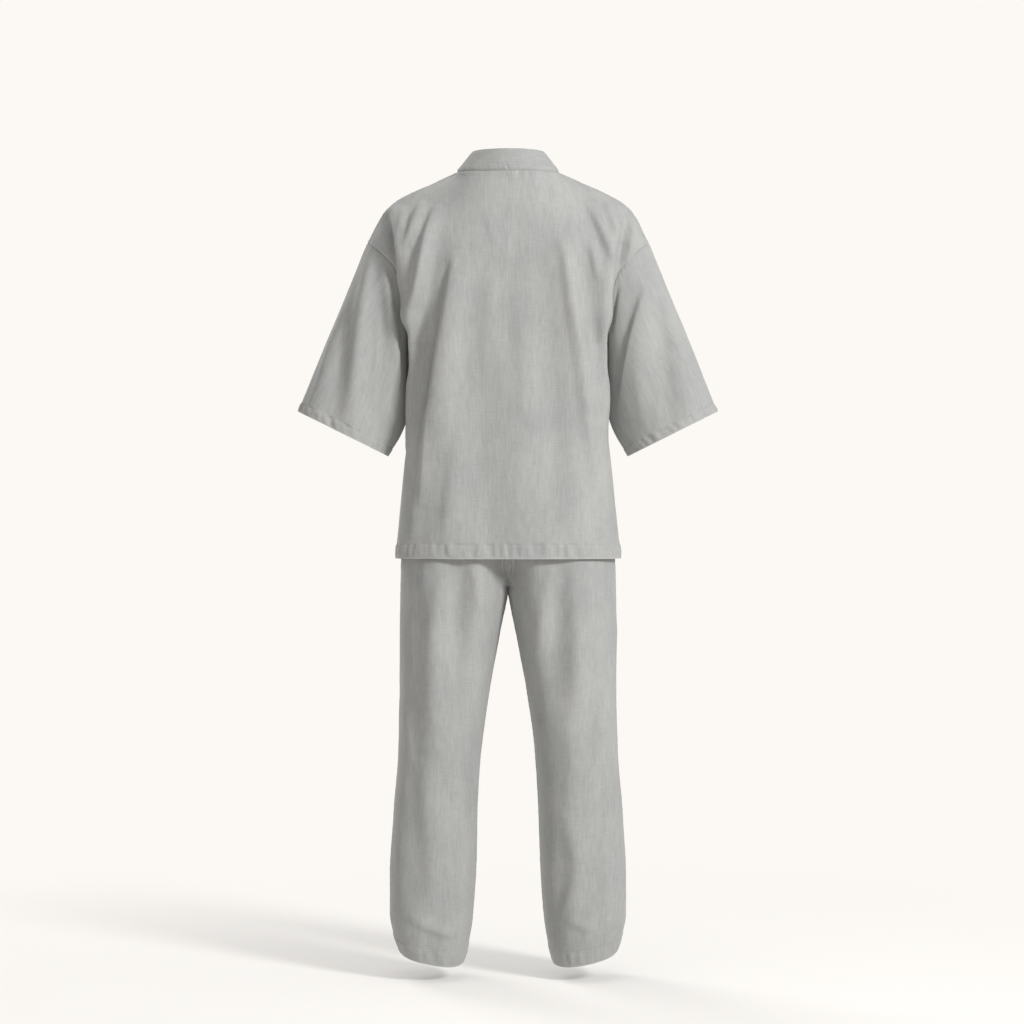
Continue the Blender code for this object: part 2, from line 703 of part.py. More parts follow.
def tape(name, aside, drop, lift, layer):
    """A tape through stations beside and below the knot, moved out from the front by lift."""
    stations = zip(TIE_X + np.asarray(aside), TIE_Z - np.asarray(drop), lift, layer)
    centres, outs = (np.array(a) for a in zip(*(front_surface(*s) for s in stations)))
    run = centres[1] - centres[0]
    side = np.cross(outs[0], run - outs[0] * (run @ outs[0]))
    side *= TAPE_WIDTH / 2 / np.linalg.norm(side)
    piece = cut(name, np.stack([centres - side, centres, centres + side], 1), cloth=TAPE_CLOTH)
    piece["colour"] = GREY_DARKER
    return piece


def bow():
    """Both tapes of the tie, the two loops and the two hanging ends round the knot."""
    pieces = [tape("tie_left", **TIE_LEFT), tape("tie_right", **TIE_RIGHT)]
    flat = np.zeros(len(LOOP["share"]))
    share = np.linspace(0, 1, TIE_END_STEPS + 1)
    aside, drop = (read(TIE_END, "share", name, share) for name in ("aside", "drop"))
    for word, way in (("inner", 1), ("outer", -1)):
        reach = LOOP_START + LOOP_REACH * LOOP["share"]
        fall = LOOP_DROP * LOOP["share"] ** 1.3
        pieces.append(tape("bow_loop_" + word, way * reach, fall, LOOP["lift"], flat))
        lift = np.full(len(share), TIE_END_LIFT)
        pieces.append(tape("tie_end_" + word, way * aside, drop, lift, 0 * share))
    return pieces


def knot():
    """The bow's knot, a small block with rounded edges at the edge of the overlap."""
    place, out = front_surface(TIE_X, TIE_Z, KNOT_LIFT, 0)
    mesh = bmesh.new()
    bmesh.ops.create_cube(mesh, size=1.0)
    bmesh.ops.scale(mesh, vec=KNOT, verts=mesh.verts)
    edges = mesh.edges[:]
    bmesh.ops.bevel(mesh, geom=edges, offset=KNOT_ROUNDING, segments=2, profile=0.5, affect="EDGES")
    turn = Matrix.Rotation(math.atan2(out[0], -out[1]), 4, "Z")
    mesh.transform(Matrix.Translation(place) @ turn)
    finish(mesh, "tie_knot", GREY_DARKER)


def main():
    for obj in list(bpy.data.objects):
        bpy.data.objects.remove(obj)

    back, over, under = back_panel(), front_panel(0), front_panel(1)
    tube, stand = sleeve(), sleeve_stand()
    seat, lap = trouser_panel(1), trouser_panel(-1)
    leg_x = 0.14
    shirt = [
        cut("back_left", folded(back, BACK_FOLDS, True)),
        cut("back_right", folded(mirrored(back), BACK_FOLDS, True)),
        cut("front_left", folded(over, FRONT_FOLDS)),
        cut("front_right", folded(mirrored(under), FRONT_FOLDS)),
        cut("sleeve_left", folded_sleeve(tube, LEFT_SLEEVE_FOLDS), 0.29, ring=True, shift=stand),
        cut(
            "sleeve_right",
            folded_sleeve(mirrored(tube), RIGHT_SLEEVE_FOLDS),
            -0.29,
            ring=True,
            shift=mirrored(stand),
        ),
        cut("collar", collar(), cloth=COLLAR_CLOTH, colour=GREY_DARKER),
    ]
    trousers = [
        cut("trouser_back_left", folded(seat, LEFT_TROUSER_FOLDS), leg_x),
        cut("trouser_back_right", folded(mirrored(seat), RIGHT_TROUSER_FOLDS), -leg_x),
        cut("trouser_front_left", folded(lap, LEFT_TROUSER_FOLDS), leg_x),
        cut("trouser_front_right", folded(mirrored(lap), RIGHT_TROUSER_FOLDS), -leg_x),
        cut("waistband", waistband(), cloth=WAISTBAND_CLOTH, ring=True, colour=GREY_DARKER),
    ]
    sew(shirt)
    sew(trousers)
    for piece in shirt + trousers + bow():
        wall(piece)
    knot()


main()
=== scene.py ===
import math

import bpy
import numpy as np
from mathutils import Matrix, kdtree, noise


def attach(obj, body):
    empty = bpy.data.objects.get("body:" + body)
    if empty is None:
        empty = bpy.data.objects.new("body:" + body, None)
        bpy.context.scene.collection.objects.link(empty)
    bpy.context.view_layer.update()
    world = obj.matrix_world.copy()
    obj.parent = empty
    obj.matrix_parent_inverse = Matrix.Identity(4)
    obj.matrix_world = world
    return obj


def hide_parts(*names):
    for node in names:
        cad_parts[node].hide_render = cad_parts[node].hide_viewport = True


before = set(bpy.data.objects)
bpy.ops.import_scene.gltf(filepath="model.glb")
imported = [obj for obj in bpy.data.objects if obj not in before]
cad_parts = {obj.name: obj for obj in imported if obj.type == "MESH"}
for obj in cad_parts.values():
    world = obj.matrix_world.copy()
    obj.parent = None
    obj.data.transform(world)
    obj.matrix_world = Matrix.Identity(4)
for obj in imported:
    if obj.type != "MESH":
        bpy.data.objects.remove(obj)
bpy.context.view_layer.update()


def table(names, *rows):
    """Named columns from rows of numbers."""
    return dict(zip(names.split(), np.array(rows, float).T))


# The form of the set, in metres, as in the model: the front faces -Y, the left as worn is +X
HEM_Z = -0.745
VENT_HEIGHT = 0.060
VENT_GAPE = 0.0025
UNDERARM_Z = -0.335
TORSO_SQUARENESS = 3.0
SIDE_FOLD_ANGLE = math.radians(38)
LAYER_STEP = 0.0070
TORSO = table(
    "z half_width side back front",
    (-0.745, 0.2160, 0.2160, 0.1290, 0.1340),
    (-0.650, 0.2080, 0.2070, 0.1220, 0.1325),
    (-0.560, 0.2020, 0.1980, 0.1140, 0.1315),
    (-0.470, 0.1965, 0.1840, 0.1085, 0.1310),
    (-0.400, 0.1945, 0.1775, 0.1080, 0.1305),
    (-0.335, 0.1945, 0.1870, 0.1100, 0.1290),
    (-0.250, 0.2000, 0.1950, 0.1145, 0.1255),
    (-0.170, 0.2080, 0.2050, 0.1140, 0.1200),
    (-0.090, 0.2160, 0.2150, 0.1020, 0.1080),
    (-0.0045, 0.2200, 0.2200, 0.0750, 0.0850),
)
NECK_HALF = 0.098
NECK_POINT_Y = -0.005
NECK_SHARE = 1 / 3
NAPE_Y = 0.075
NAPE_Z = -0.0045
SHOULDER = table(
    "share x z",
    (0.00, 0.0980, 0.0000),
    (0.16, 0.1350, -0.0160),
    (0.48, 0.2010, -0.0465),
    (0.55, 0.2150, -0.0545),
    (0.67, 0.2370, -0.0735),
    (0.77, 0.2490, -0.0925),
    (0.87, 0.2590, -0.1120),
    (1.00, 0.2715, -0.1380),
)
FRONT_ARMHOLE = 0.95
ARMHOLE = table(
    "share x y z",
    (0.00, 0.1870, 0.0000, -0.3350),
    (0.15, 0.1895, 0.0300, -0.3000),
    (0.32, 0.1950, 0.0470, -0.2550),
    (0.48, 0.2045, 0.0550, -0.2150),
    (0.62, 0.2215, 0.0570, -0.1840),
    (0.76, 0.2440, 0.0475, -0.1600),
    (0.88, 0.2615, 0.0270, -0.1460),
    (1.00, 0.2715, 0.0000, -0.1380),
)
SLEEVE_OUTER = (0.4043, -0.4625)
SLEEVE_INNER = (0.2325, -0.5480)
SLEEVE_HEM_Y = -0.004
SLEEVE_HALF_DEPTH = 0.070
SLEEVE_HUG = 0.0225
SLEEVE_HUG_ANGLE = math.radians(32)
UNDERARM_STAND = 0.0020
CROSSING = 0.5
COLLAR_WIDTH = 0.050
COLLAR_LINE = table(
    "z x",
    (-0.745, -0.106),
    (-0.600, -0.101),
    (-0.500, -0.084),
    (-0.400, -0.049),
    (-0.300, -0.005),
    (-0.235, 0.024),
    (-0.168, 0.050),
)
NECK_LEAN = (-0.004, -0.055, -0.034)
COLLAR_TOP_HALF = 0.0685
COLLAR_TOP_SIDE_Y = -0.002
COLLAR_TOP_BACK_Y = 0.060
COLLAR_TOP_Z = 0.0380
COLLAR_TOP_LEAN = (-0.002, -0.050, -0.022)
SEAM_START_PULL = 0.055
TOP_START_PULL = (0.014, 0.008, 0.058)
TROUSER_SQUARENESS = 2.4
TROUSER_HEM_Z = -1.501
CROTCH_Z = -0.805
WAIST_Z = -0.466
WAISTBAND_HEIGHT = 0.036
WAISTBAND_TOP_GROWTH = 0.002
HEM_TILT_X = 0.20
HEM_TILT_Y = -0.20
HEM_TILT_REACH = 0.150
TROUSER = table(
    "side_z outer inner inner_z mid_y back_in back front_in front",
    (-1.501, 0.2115, 0.0850, -1.501, 0.010, 0.0, 0.0760, 0.0, 0.0820),
    (-1.470, 0.2210, 0.0770, -1.470, 0.010, 0.0, 0.0820, 0.0, 0.0870),
    (-1.430, 0.2275, 0.0695, -1.430, 0.010, 0.0, 0.0860, 0.0, 0.0890),
    (-1.350, 0.2270, 0.0630, -1.350, 0.009, 0.0, 0.0880, 0.0, 0.0880),
    (-1.230, 0.2200, 0.0600, -1.230, 0.006, 0.0, 0.0900, 0.0, 0.0900),
    (-1.116, 0.2110, 0.0530, -1.116, 0.003, 0.0, 0.0940, 0.0, 0.0940),
    (-1.000, 0.2080, 0.0370, -1.000, 0.000, 0.0, 0.1000, 0.0, 0.0980),
    (-0.900, 0.2080, 0.0180, -0.900, 0.000, 0.0, 0.1060, 0.0, 0.1010),
    (-0.830, 0.2075, 0.0040, -0.830, 0.000, 0.0, 0.1090, 0.0, 0.1020),
    (-0.805, 0.2070, 0.0000, -0.805, 0.000, 0.0, 0.1100, 0.0, 0.1020),
    (-0.780, 0.2065, 0.0000, -0.797, 0.000, 0.0300, 0.1095, 0.0300, 0.1030),
    (-0.755, 0.2060, 0.0000, -0.783, 0.000, 0.0580, 0.1110, 0.0550, 0.1040),
    (-0.730, 0.2055, 0.0000, -0.759, 0.000, 0.0820, 0.1125, 0.0780, 0.1050),
    (-0.700, 0.2035, 0.0000, -0.724, 0.000, 0.0990, 0.1138, 0.0940, 0.1060),
    (-0.660, 0.1995, 0.0000, -0.673, 0.000, 0.1110, 0.1145, 0.1040, 0.1068),
    (-0.610, 0.1930, 0.0000, -0.615, 0.000, 0.1115, 0.1120, 0.1070, 0.1074),
    (-0.550, 0.1820, 0.0000, -0.551, 0.000, 0.1045, 0.1047, 0.1060, 0.1062),
    (-0.500, 0.1715, 0.0000, -0.500, 0.000, 0.0980, 0.0980, 0.1030, 0.1030),
    (-0.466, 0.1640, 0.0000, -0.466, 0.000, 0.0945, 0.0945, 0.0990, 0.0990),
)

# The largest folds, which the solids have too. A positive lift is a ridge.
FOLD_FADE = 0.2
SLEEVE_FOLD_FADE = 0.3
SLEEVE_FOLD_DEPTH = 0.045
FOLD_COLUMNS = "x_top z_top x_foot z_foot reach lift"
BACK_FOLDS = table(
    FOLD_COLUMNS,
    (0.134, -0.160, 0.182, -0.480, 0.026, -0.0105),
    (0.096, -0.200, 0.134, -0.600, 0.028, 0.0060),
    (0.148, -0.440, 0.156, -0.745, 0.028, -0.0118),
    (0.048, -0.320, 0.038, -0.745, 0.034, -0.0045),
    (-0.104, -0.170, -0.142, -0.520, 0.028, 0.0070),
    (-0.136, -0.180, -0.172, -0.420, 0.022, -0.0080),
    (-0.066, -0.230, -0.090, -0.600, 0.030, -0.0060),
    (-0.040, -0.480, -0.036, -0.745, 0.034, 0.0050),
)
FRONT_FOLDS = table(
    FOLD_COLUMNS,
    (0.135, -0.170, 0.168, -0.520, 0.028, -0.0085),
    (0.105, -0.280, 0.120, -0.745, 0.032, 0.0055),
    (0.120, -0.340, -0.020, -0.430, 0.026, -0.0045),
    (-0.140, -0.165, -0.140, -0.390, 0.026, -0.0060),
    (-0.160, -0.560, -0.185, -0.745, 0.026, 0.0035),
)
LEFT_SLEEVE_FOLDS = table(
    FOLD_COLUMNS,
    (0.268, -0.180, 0.306, -0.520, 0.022, 0.0075),
    (0.294, -0.210, 0.340, -0.500, 0.022, -0.0090),
    (0.248, -0.250, 0.262, -0.450, 0.020, -0.0055),
)
RIGHT_SLEEVE_FOLDS = table(
    FOLD_COLUMNS,
    (-0.276, -0.190, -0.310, -0.480, 0.022, -0.0068),
    (-0.302, -0.210, -0.352, -0.480, 0.022, 0.0060),
    (-0.232, -0.260, -0.226, -0.420, 0.020, -0.0042),
)
LEFT_TROUSER_FOLDS = table(
    FOLD_COLUMNS,
    (0.056, -0.730, 0.062, -0.900, 0.022, 0.0055),
    (0.095, -0.740, 0.096, -1.010, 0.022, -0.0075),
    (0.140, -0.740, 0.140, -1.040, 0.024, 0.0060),
    (0.176, -0.700, 0.178, -1.180, 0.022, -0.0085),
    (0.186, -1.120, 0.180, -1.380, 0.026, -0.0050),
    (0.118, -1.360, 0.146, -1.500, 0.024, -0.0075),
)
RIGHT_TROUSER_FOLDS = table(
    FOLD_COLUMNS,
    (-0.054, -0.740, -0.050, -0.910, 0.022, 0.0060),
    (-0.092, -0.740, -0.092, -1.000, 0.022, -0.0075),
    (-0.126, -0.760, -0.128, -1.040, 0.022, 0.0055),
    (-0.188, -0.860, -0.160, -1.120, 0.022, -0.0070),
    (-0.106, -1.290, -0.096, -1.440, 0.024, -0.0070),
)

# Creases laid over the folds. Each runs from its top by its bend to its foot along its
# crest, and falls away within one reach to the left as seen from behind, and another to the right.
CREASE_COLUMNS = "x_top z_top x_bend z_bend x_foot z_foot left right lift"
BACK_CREASES = table(
    CREASE_COLUMNS,
    # The left side, where the sleeve pulls the back over the armhole
    (0.2240, -0.066, 0.2060, -0.170, 0.1910, -0.310, 0.0050, 0.022, 0.0110),
    (0.2350, -0.078, 0.2250, -0.135, 0.2110, -0.205, 0.0090, 0.007, -0.0138),
    (0.1990, -0.070, 0.2015, -0.095, 0.2030, -0.125, 0.0055, 0.009, 0.0048),
    (0.1600, -0.060, 0.1775, -0.106, 0.1920, -0.155, 0.0065, 0.014, 0.0092),
    (0.1300, -0.068, 0.1600, -0.155, 0.1720, -0.268, 0.0075, 0.016, 0.0105),
    (0.1480, -0.130, 0.1840, -0.310, 0.1940, -0.540, 0.0120, 0.013, 0.0172),
    (0.0985, -0.160, 0.1320, -0.400, 0.1620, -0.650, 0.0105, 0.030, 0.0167),
    (0.1120, -0.180, 0.1450, -0.390, 0.1730, -0.610, 0.0070, 0.005, -0.0092),
    (0.1440, -0.440, 0.1630, -0.565, 0.1800, -0.710, 0.0130, 0.026, 0.0095),
    (0.0940, -0.500, 0.1065, -0.620, 0.1180, -0.740, 0.0130, 0.026, 0.0062),
    (0.1420, -0.560, 0.1450, -0.670, 0.1470, -0.800, 0.0240, 0.024, 0.0048),
    (0.0500, -0.065, 0.0360, -0.110, 0.0160, -0.165, 0.0090, 0.014, 0.0018),
    (0.0300, -0.200, 0.0360, -0.310, 0.0400, -0.450, 0.0140, 0.024, 0.0034),
    # The right side
    (-0.2120, -0.088, -0.1870, -0.250, -0.1850, -0.520, 0.0150, 0.0080, 0.0110),
    (-0.2240, -0.095, -0.2190, -0.145, -0.2080, -0.205, 0.0060, 0.006, -0.0075),
    (-0.2330, -0.085, -0.2320, -0.140, -0.2140, -0.205, 0.0050, 0.014, 0.0103),
    (-0.1490, -0.063, -0.1775, -0.128, -0.1945, -0.183, 0.0060, 0.014, 0.0098),
    (-0.1836, -0.060, -0.1969, -0.103, -0.2101, -0.145, 0.0060, 0.010, 0.0069),
    (-0.1552, -0.141, -0.1628, -0.179, -0.1723, -0.221, 0.0065, 0.012, 0.0052),
    (-0.1000, -0.130, -0.1306, -0.330, -0.1704, -0.640, 0.0110, 0.020, 0.0125),
    (-0.1200, -0.500, -0.1280, -0.620, -0.1320, -0.760, 0.0140, 0.020, 0.0036),
    (-0.0200, -0.260, -0.0300, -0.360, -0.0340, -0.500, 0.0140, 0.024, 0.0036),
)
FRONT_CREASES = table(
    CREASE_COLUMNS,
    (0.208, -0.090, 0.202, -0.170, 0.196, -0.300, 0.008, 0.020, 0.0080),
    (0.132, -0.080, 0.150, -0.140, 0.168, -0.230, 0.010, 0.014, -0.0040),
    (0.096, -0.120, 0.106, -0.220, 0.130, -0.330, 0.012, 0.022, 0.0042),
    (0.150, -0.400, 0.060, -0.425, -0.060, -0.452, 0.010, 0.012, 0.0034),
    (0.120, -0.300, 0.030, -0.380, -0.090, -0.446, 0.012, 0.012, 0.0030),
    (0.060, -0.470, -0.030, -0.560, -0.060, -0.760, 0.016, 0.020, 0.0034),
    (0.030, -0.500, 0.040, -0.620, 0.050, -0.760, 0.016, 0.018, 0.0026),
    (0.150, -0.440, 0.166, -0.580, 0.180, -0.740, 0.016, 0.022, 0.0040),
    (-0.208, -0.095, -0.202, -0.170, -0.196, -0.300, 0.020, 0.008, 0.0075),
    (-0.136, -0.085, -0.152, -0.150, -0.170, -0.240, 0.012, 0.012, -0.0040),
    (-0.165, -0.300, -0.158, -0.380, -0.142, -0.450, 0.010, 0.014, 0.0034),
    (-0.150, -0.480, -0.162, -0.600, -0.170, -0.760, 0.014, 0.016, 0.0028),
)
LEFT_SLEEVE_CREASES = table(
    CREASE_COLUMNS,
    (0.262, -0.150, 0.2780, -0.270, 0.300, -0.460, 0.0130, 0.012, 0.0080),
    (0.236, -0.175, 0.2200, -0.300, 0.209, -0.410, 0.0110, 0.008, 0.0095),
    (0.250, -0.270, 0.2530, -0.370, 0.260, -0.460, 0.0100, 0.010, 0.0040),
    (0.226, -0.370, 0.2220, -0.420, 0.218, -0.490, 0.0120, 0.016, 0.0036),
    (0.300, -0.220, 0.3400, -0.345, 0.385, -0.480, 0.0090, 0.030, 0.0085),
)
RIGHT_SLEEVE_CREASES = table(
    CREASE_COLUMNS,
    (-0.268, -0.215, -0.2370, -0.320, -0.212, -0.480, 0.0065, 0.032, 0.0095),
    (-0.316, -0.226, -0.3360, -0.336, -0.372, -0.463, 0.0140, 0.016, 0.0036),
    (-0.246, -0.370, -0.2520, -0.430, -0.262, -0.510, 0.0120, 0.014, 0.0030),
    (-0.210, -0.220, -0.2010, -0.262, -0.195, -0.315, 0.0050, 0.005, -0.0080),
    (-0.262, -0.170, -0.2840, -0.230, -0.300, -0.300, 0.0140, 0.010, -0.0026),
)
LEFT_TROUSER_CREASES = table(
    CREASE_COLUMNS,
    (0.1742, -0.747, 0.1726, -0.896, 0.1666, -0.993, 0.0060, 0.008, 0.0040),
    (0.1000, -0.745, 0.1440, -0.930, 0.1230, -1.144, 0.0220, 0.030, 0.0066),
    (0.1600, -0.725, 0.1590, -0.775, 0.1570, -0.850, 0.0100, 0.010, 0.0040),
    (0.0719, -0.737, 0.0585, -0.795, 0.0480, -0.850, 0.0120, 0.020, 0.0050),
    (0.2045, -1.012, 0.1912, -1.078, 0.1779, -1.154, 0.0120, 0.008, 0.0022),
    (0.1640, -1.120, 0.1470, -1.270, 0.1320, -1.470, 0.0180, 0.030, 0.0066),
    (0.1720, -1.438, 0.1380, -1.450, 0.1040, -1.462, 0.0070, 0.016, 0.0062),
    (0.1930, -1.420, 0.1760, -1.432, 0.1560, -1.440, 0.0070, 0.012, 0.0030),
    (0.1000, -1.100, 0.0820, -1.078, 0.0600, -1.050, 0.0100, 0.012, 0.0024),
)
RIGHT_TROUSER_CREASES = table(
    CREASE_COLUMNS,
    (-0.0920, -0.737, -0.0720, -0.823, -0.0560, -0.974, 0.0130, 0.022, 0.0064),
    (-0.1540, -0.747, -0.1430, -0.879, -0.1230, -1.050, 0.0170, 0.024, 0.0040),
    (-0.1098, -1.030, -0.1230, -1.135, -0.1136, -1.249, 0.0200, 0.026, 0.0060),
    (-0.1098, -1.225, -0.1249, -1.286, -0.1363, -1.340, 0.0160, 0.024, 0.0062),
    (-0.1363, -1.325, -0.1174, -1.390, -0.1022, -1.470, 0.0140, 0.020, 0.0064),
    (-0.2045, -0.860, -0.1893, -1.012, -0.1742, -1.154, 0.0200, 0.008, 0.0056),
    (-0.1120, -1.428, -0.1380, -1.440, -0.1640, -1.452, 0.0080, 0.014, 0.0046),
)

# Ties
TAPE_WIDTH = 0.012
TIE_X = -0.138
TIE_Z = -0.455
KNOT = (0.017, 0.011, 0.018)
KNOT_LIFT = 0.0102
LOOP_REACH = 0.032
LOOP_DROP = 0.026
LOOP_START = 0.0098
TIE_COLUMNS = "aside drop lift layer"
TIE_LEFT = table(
    TIE_COLUMNS,
    (0.034, 0.0, 0.0027, 0.0),
    (0.022, 0.0, 0.0036, 0.0),
    (0.0084, 0.0, 0.0086, 0.0),
)
TIE_RIGHT = table(
    TIE_COLUMNS,
    (-0.040, 0.0, 0.0019, 1.0),
    (-0.026, 0.0, 0.0030, 0.6),
    (-0.0084, 0.0, 0.0086, 0.0),
)
LOOP = table(
    "share lift",
    (0.00, 0.0142),
    (0.45, 0.0170),
    (0.90, 0.0156),
    (1.00, 0.0120),
    (0.90, 0.0084),
    (0.45, 0.0090),
    (0.00, 0.0116),
)
TIE_END = table(
    "share aside drop",
    (0.0, 0.0068, 0.004),
    (0.2, 0.0090, 0.026),
    (0.5, 0.0140, 0.060),
    (1.0, 0.0190, 0.115),
)
TIE_END_LIFT = 0.0034

# The back hangs straighter below the collar than its pattern, and rounds off below the neck points
NAPE_NEARNESS = 6
EASE_WIDTH = 0.042
EASE_DROP = 0.028
EASE_REACH = 0.065

# Sewing
STEP = 0.0038
BACK_STEP = 0.0030
EDGE_STATIONS = (0.0, 0.0008, 0.0018, 0.0030, 0.0048, 0.0066, 0.0078, 0.0092)
LEAST_STEP = 0.0006
CLOTH = 0.0011
BAND_CLOTH = 0.0024
TAPE_CLOTH = 0.0012
SEAM_GROOVE = 0.0010
SEAM_REACH = 0.0014
SEAM_PUCKER = 0.0007
COLLAR_GROOVE = 0.0022
CENTRE_GROOVE = 0.00012
FELL = (0.0018, 0.0078)
FELL_SWELL = 0.0009
FELL_GROOVE = 0.0009
TOP_HEM = 0.026
SLEEVE_HEM = 0.017
TROUSER_HEM = 0.028
HEM_SWELL = 0.0009
HEM_GROOVE = 0.0013
HEM_PUCKER = 0.0016
STITCH = 0.0021
STITCH_PITCH = 0.0028
THREAD = 0.00042
SEWN_WITHIN = 0.003

# How far up its side seam a body panel meets the sleeve
ARMHOLE_FROM = 0.58

# Where the back swells beside the body, and where the sleeve holds it: spans down from the neck
SIDE_BULGE = 0.0080
BULGE_Y = 0.066
BULGE_REACH = 0.028
BULGE_SPAN = (0.24, 0.09, 0.53, 0.10)
SLEEVE_HOLD = 0.85
HOLD_SPAN = (0.27, 0.05, 0.42, 0.05)

# The hollow along the centre seam of the trousers
CLEFT = 0.012
CLEFT_REACH = 0.024
CLEFT_SPAN = (-0.795, 0.03, -0.68, 0.03)

# Unevenness of the hanging cloth: wavelengths across and down, and height
RUMPLES = ((0.070, 0.220, 0.0016), (0.030, 0.090, 0.0007), (0.011, 0.034, 0.00025))

# For pieces whose creases are laid elsewhere, or that have none
NO_CREASES = table(CREASE_COLUMNS, (0.0, 1.0, 0.0, 1.1, 0.0, 1.2, 0.01, 0.01, 0.0))

# Light, floor, camera and the chambray's cool tone
COOL_TONE = (0.97, 0.98, 1.0, 1.0)
FILL_COLOUR = (1.0, 0.985, 0.96, 1.0)
BACKDROP = (0.974, 0.947, 0.913, 1.0)
FLOOR_Z = -1.550
CAMERA_PLACE = (-0.0077, 5.2, -0.656)
CAMERA_LENS = 94.7
CAMERA_SENSOR = 36.0
FILL_STRENGTH = 0.365
LIGHTS = table(
    "x y z aim_z size energy",
    (-3.9, 4.0, 2.1, -0.70, 1.4, 325.0),
    (2.6, -3.6, 2.4, -0.60, 2.4, 110.0),
    (0.0, 0.4, 4.2, -1.00, 3.2, 50.0),
)


def spline(knots, values, at):
    """A smooth curve through the values that never overshoots them."""
    knots, values, at = (np.asarray(a, float) for a in (knots, values, at))
    step = np.diff(knots)
    slope = np.diff(values) / step
    tangent = np.zeros(len(values))
    tangent[0], tangent[-1] = slope[0], slope[-1]
    for i in range(1, len(values) - 1):
        if slope[i - 1] * slope[i] > 0:
            near, far = 2 * step[i] + step[i - 1], step[i] + 2 * step[i - 1]
            tangent[i] = (near + far) / (near / slope[i - 1] + far / slope[i])
    i = np.clip(np.searchsorted(knots, at) - 1, 0, len(step) - 1)
    t = np.clip((at - knots[i]) / step[i], 0, 1)
    start = (1 + 2 * t) * (1 - t) ** 2 * values[i] + t * (1 - t) ** 2 * step[i] * tangent[i]
    end = t * t * (3 - 2 * t) * values[i + 1] - t * t * (1 - t) * step[i] * tangent[i + 1]
    return start + end


def read(source, key, name, at):
    """Column `name` of a table at `at` along its column `key`."""
    return spline(source[key], source[name], at)


def smooth(t):
    t = np.clip(t, 0, 1)
    return t * t * (3 - 2 * t)


def window(value, start, rise, end, fall):
    """1 between start and end, eased to 0 over rise and fall inside them."""
    return smooth((value - start) / rise) * smooth((end - value) / fall)


def bell(distance, reach):
    """1 at no distance, dying out past reach."""
    return np.exp(-((distance / reach) ** 2))


def power(value, exponent):
    return np.sign(value) * np.abs(value) ** exponent


def mix(a, b, share):
    return a + (b - a) * share


def bezier(start, start_pull, end_pull, end, t):
    """The point at t on a cubic curve, whose pulls are offsets from its two ends."""
    start, end = np.asarray(start), np.asarray(end)
    near, far = start + start_pull, end + end_pull
    s = 1 - t
    return s**3 * start + 3 * s * s * t * near + 3 * s * t * t * far + t**3 * end


def travelled(points, axis=0):
    """Distance covered along points from the first row or column."""
    step = np.linalg.norm(np.diff(points, axis=axis), axis=-1)
    start = np.zeros_like(step.take([0], axis))
    return np.concatenate([start, np.cumsum(step, axis)], axis)


def stations(length, also=(), step=STEP):
    """Shares of a length a step apart, closer beside both ends and exactly at what is in also."""
    near = np.array(EDGE_STATIONS)
    fixed = np.unique(np.concatenate([near, length - near, also]))
    free = np.linspace(near[-1], length - near[-1], round(length / step))
    apart = np.abs(free[:, None] - fixed).min(axis=1) > LEAST_STEP
    return np.sort(np.concatenate([fixed, free[apart]])) / length


def by_length(curve, shares):
    """Parameters of a curve at shares of its length."""
    fine = np.linspace(0, 1, 1201)
    run = travelled(curve(fine))
    return np.interp(shares * run[-1], run, fine)


# The top. A rise of 0 is the hem, 1 the underarm and 2 the shoulder seam.


def armhole_point(share, face):
    """A point of the left armhole seam. face is 1 at the back and -1 at the front."""
    depth = 1.0 if face > 0 else -FRONT_ARMHOLE
    x, y, z = (read(ARMHOLE, "share", name, share) for name in "xyz")
    return np.array([x, y * depth, z])


def section(rise, face, layer=0):
    """Sizes of one row: its outer end, half width, depth and centre height."""
    share = max(0.0, rise - 1)
    if rise <= 1:
        z = mix(HEM_Z, UNDERARM_Z, rise)
        vent = max(0.0, 1 - (z - HEM_Z) / VENT_HEIGHT)
        end = np.array([read(TORSO, "z", "side", z), face * VENT_GAPE * vent, z])
        widest_z = z
    else:
        z = mix(UNDERARM_Z, NAPE_Z, share)
        end = armhole_point(share, face)
        widest_z = mix(z, end[2], 0.6)
    depth = read(TORSO, "z", "back" if face > 0 else "front", z) - layer * LAYER_STEP
    half_width = read(TORSO, "z", "half_width", widest_z)
    return {"end": end, "half_width": half_width, "depth": face * depth, "z": z}


def across(row, angle):
    """Points of a row, from its outer end at angle 0 to the centre line at 90 degrees and on."""
    angle = np.asarray(angle, float)
    end, roundness = row["end"], 2 / TORSO_SQUARENESS
    cosine, sine = power(np.cos(angle), roundness), power(np.sin(angle), roundness)
    side_fold = np.clip(1 - angle / SIDE_FOLD_ANGLE, 0, 1) ** 2
    to_centre = 1 - np.abs(1 - 2 * angle / math.pi)
    x = row["half_width"] * cosine + (end[0] - row["half_width"]) * side_fold
    y = end[1] + (row["depth"] - end[1]) * sine
    z = mix(end[2], row["z"], 1 - (1 - to_centre) ** 1.5)
    return np.stack([x, y, z], -1)


def angle_at(row, x):
    """The angle at which a row reaches x, near the centre line or past it."""
    return math.acos(power(x / row["half_width"], TORSO_SQUARENESS / 2))


def neck_arc(share):
    """The neck seam from the nape, share 0, to the side neck point, share 1."""
    turn = np.asarray(share) * math.pi / 2
    x = NECK_HALF * np.sin(turn)
    y = mix(NECK_POINT_Y, NAPE_Y, np.cos(turn))
    return np.stack([x, y, NAPE_Z * np.cos(turn)], -1)


def shoulder_line(share):
    """The shoulder seam from the neck point, share 0, to the armhole, share 1."""
    x, z = (read(SHOULDER, "share", name, share) for name in "xz")
    return np.stack([x, NECK_POINT_Y * (1 - np.asarray(share)), z], -1)


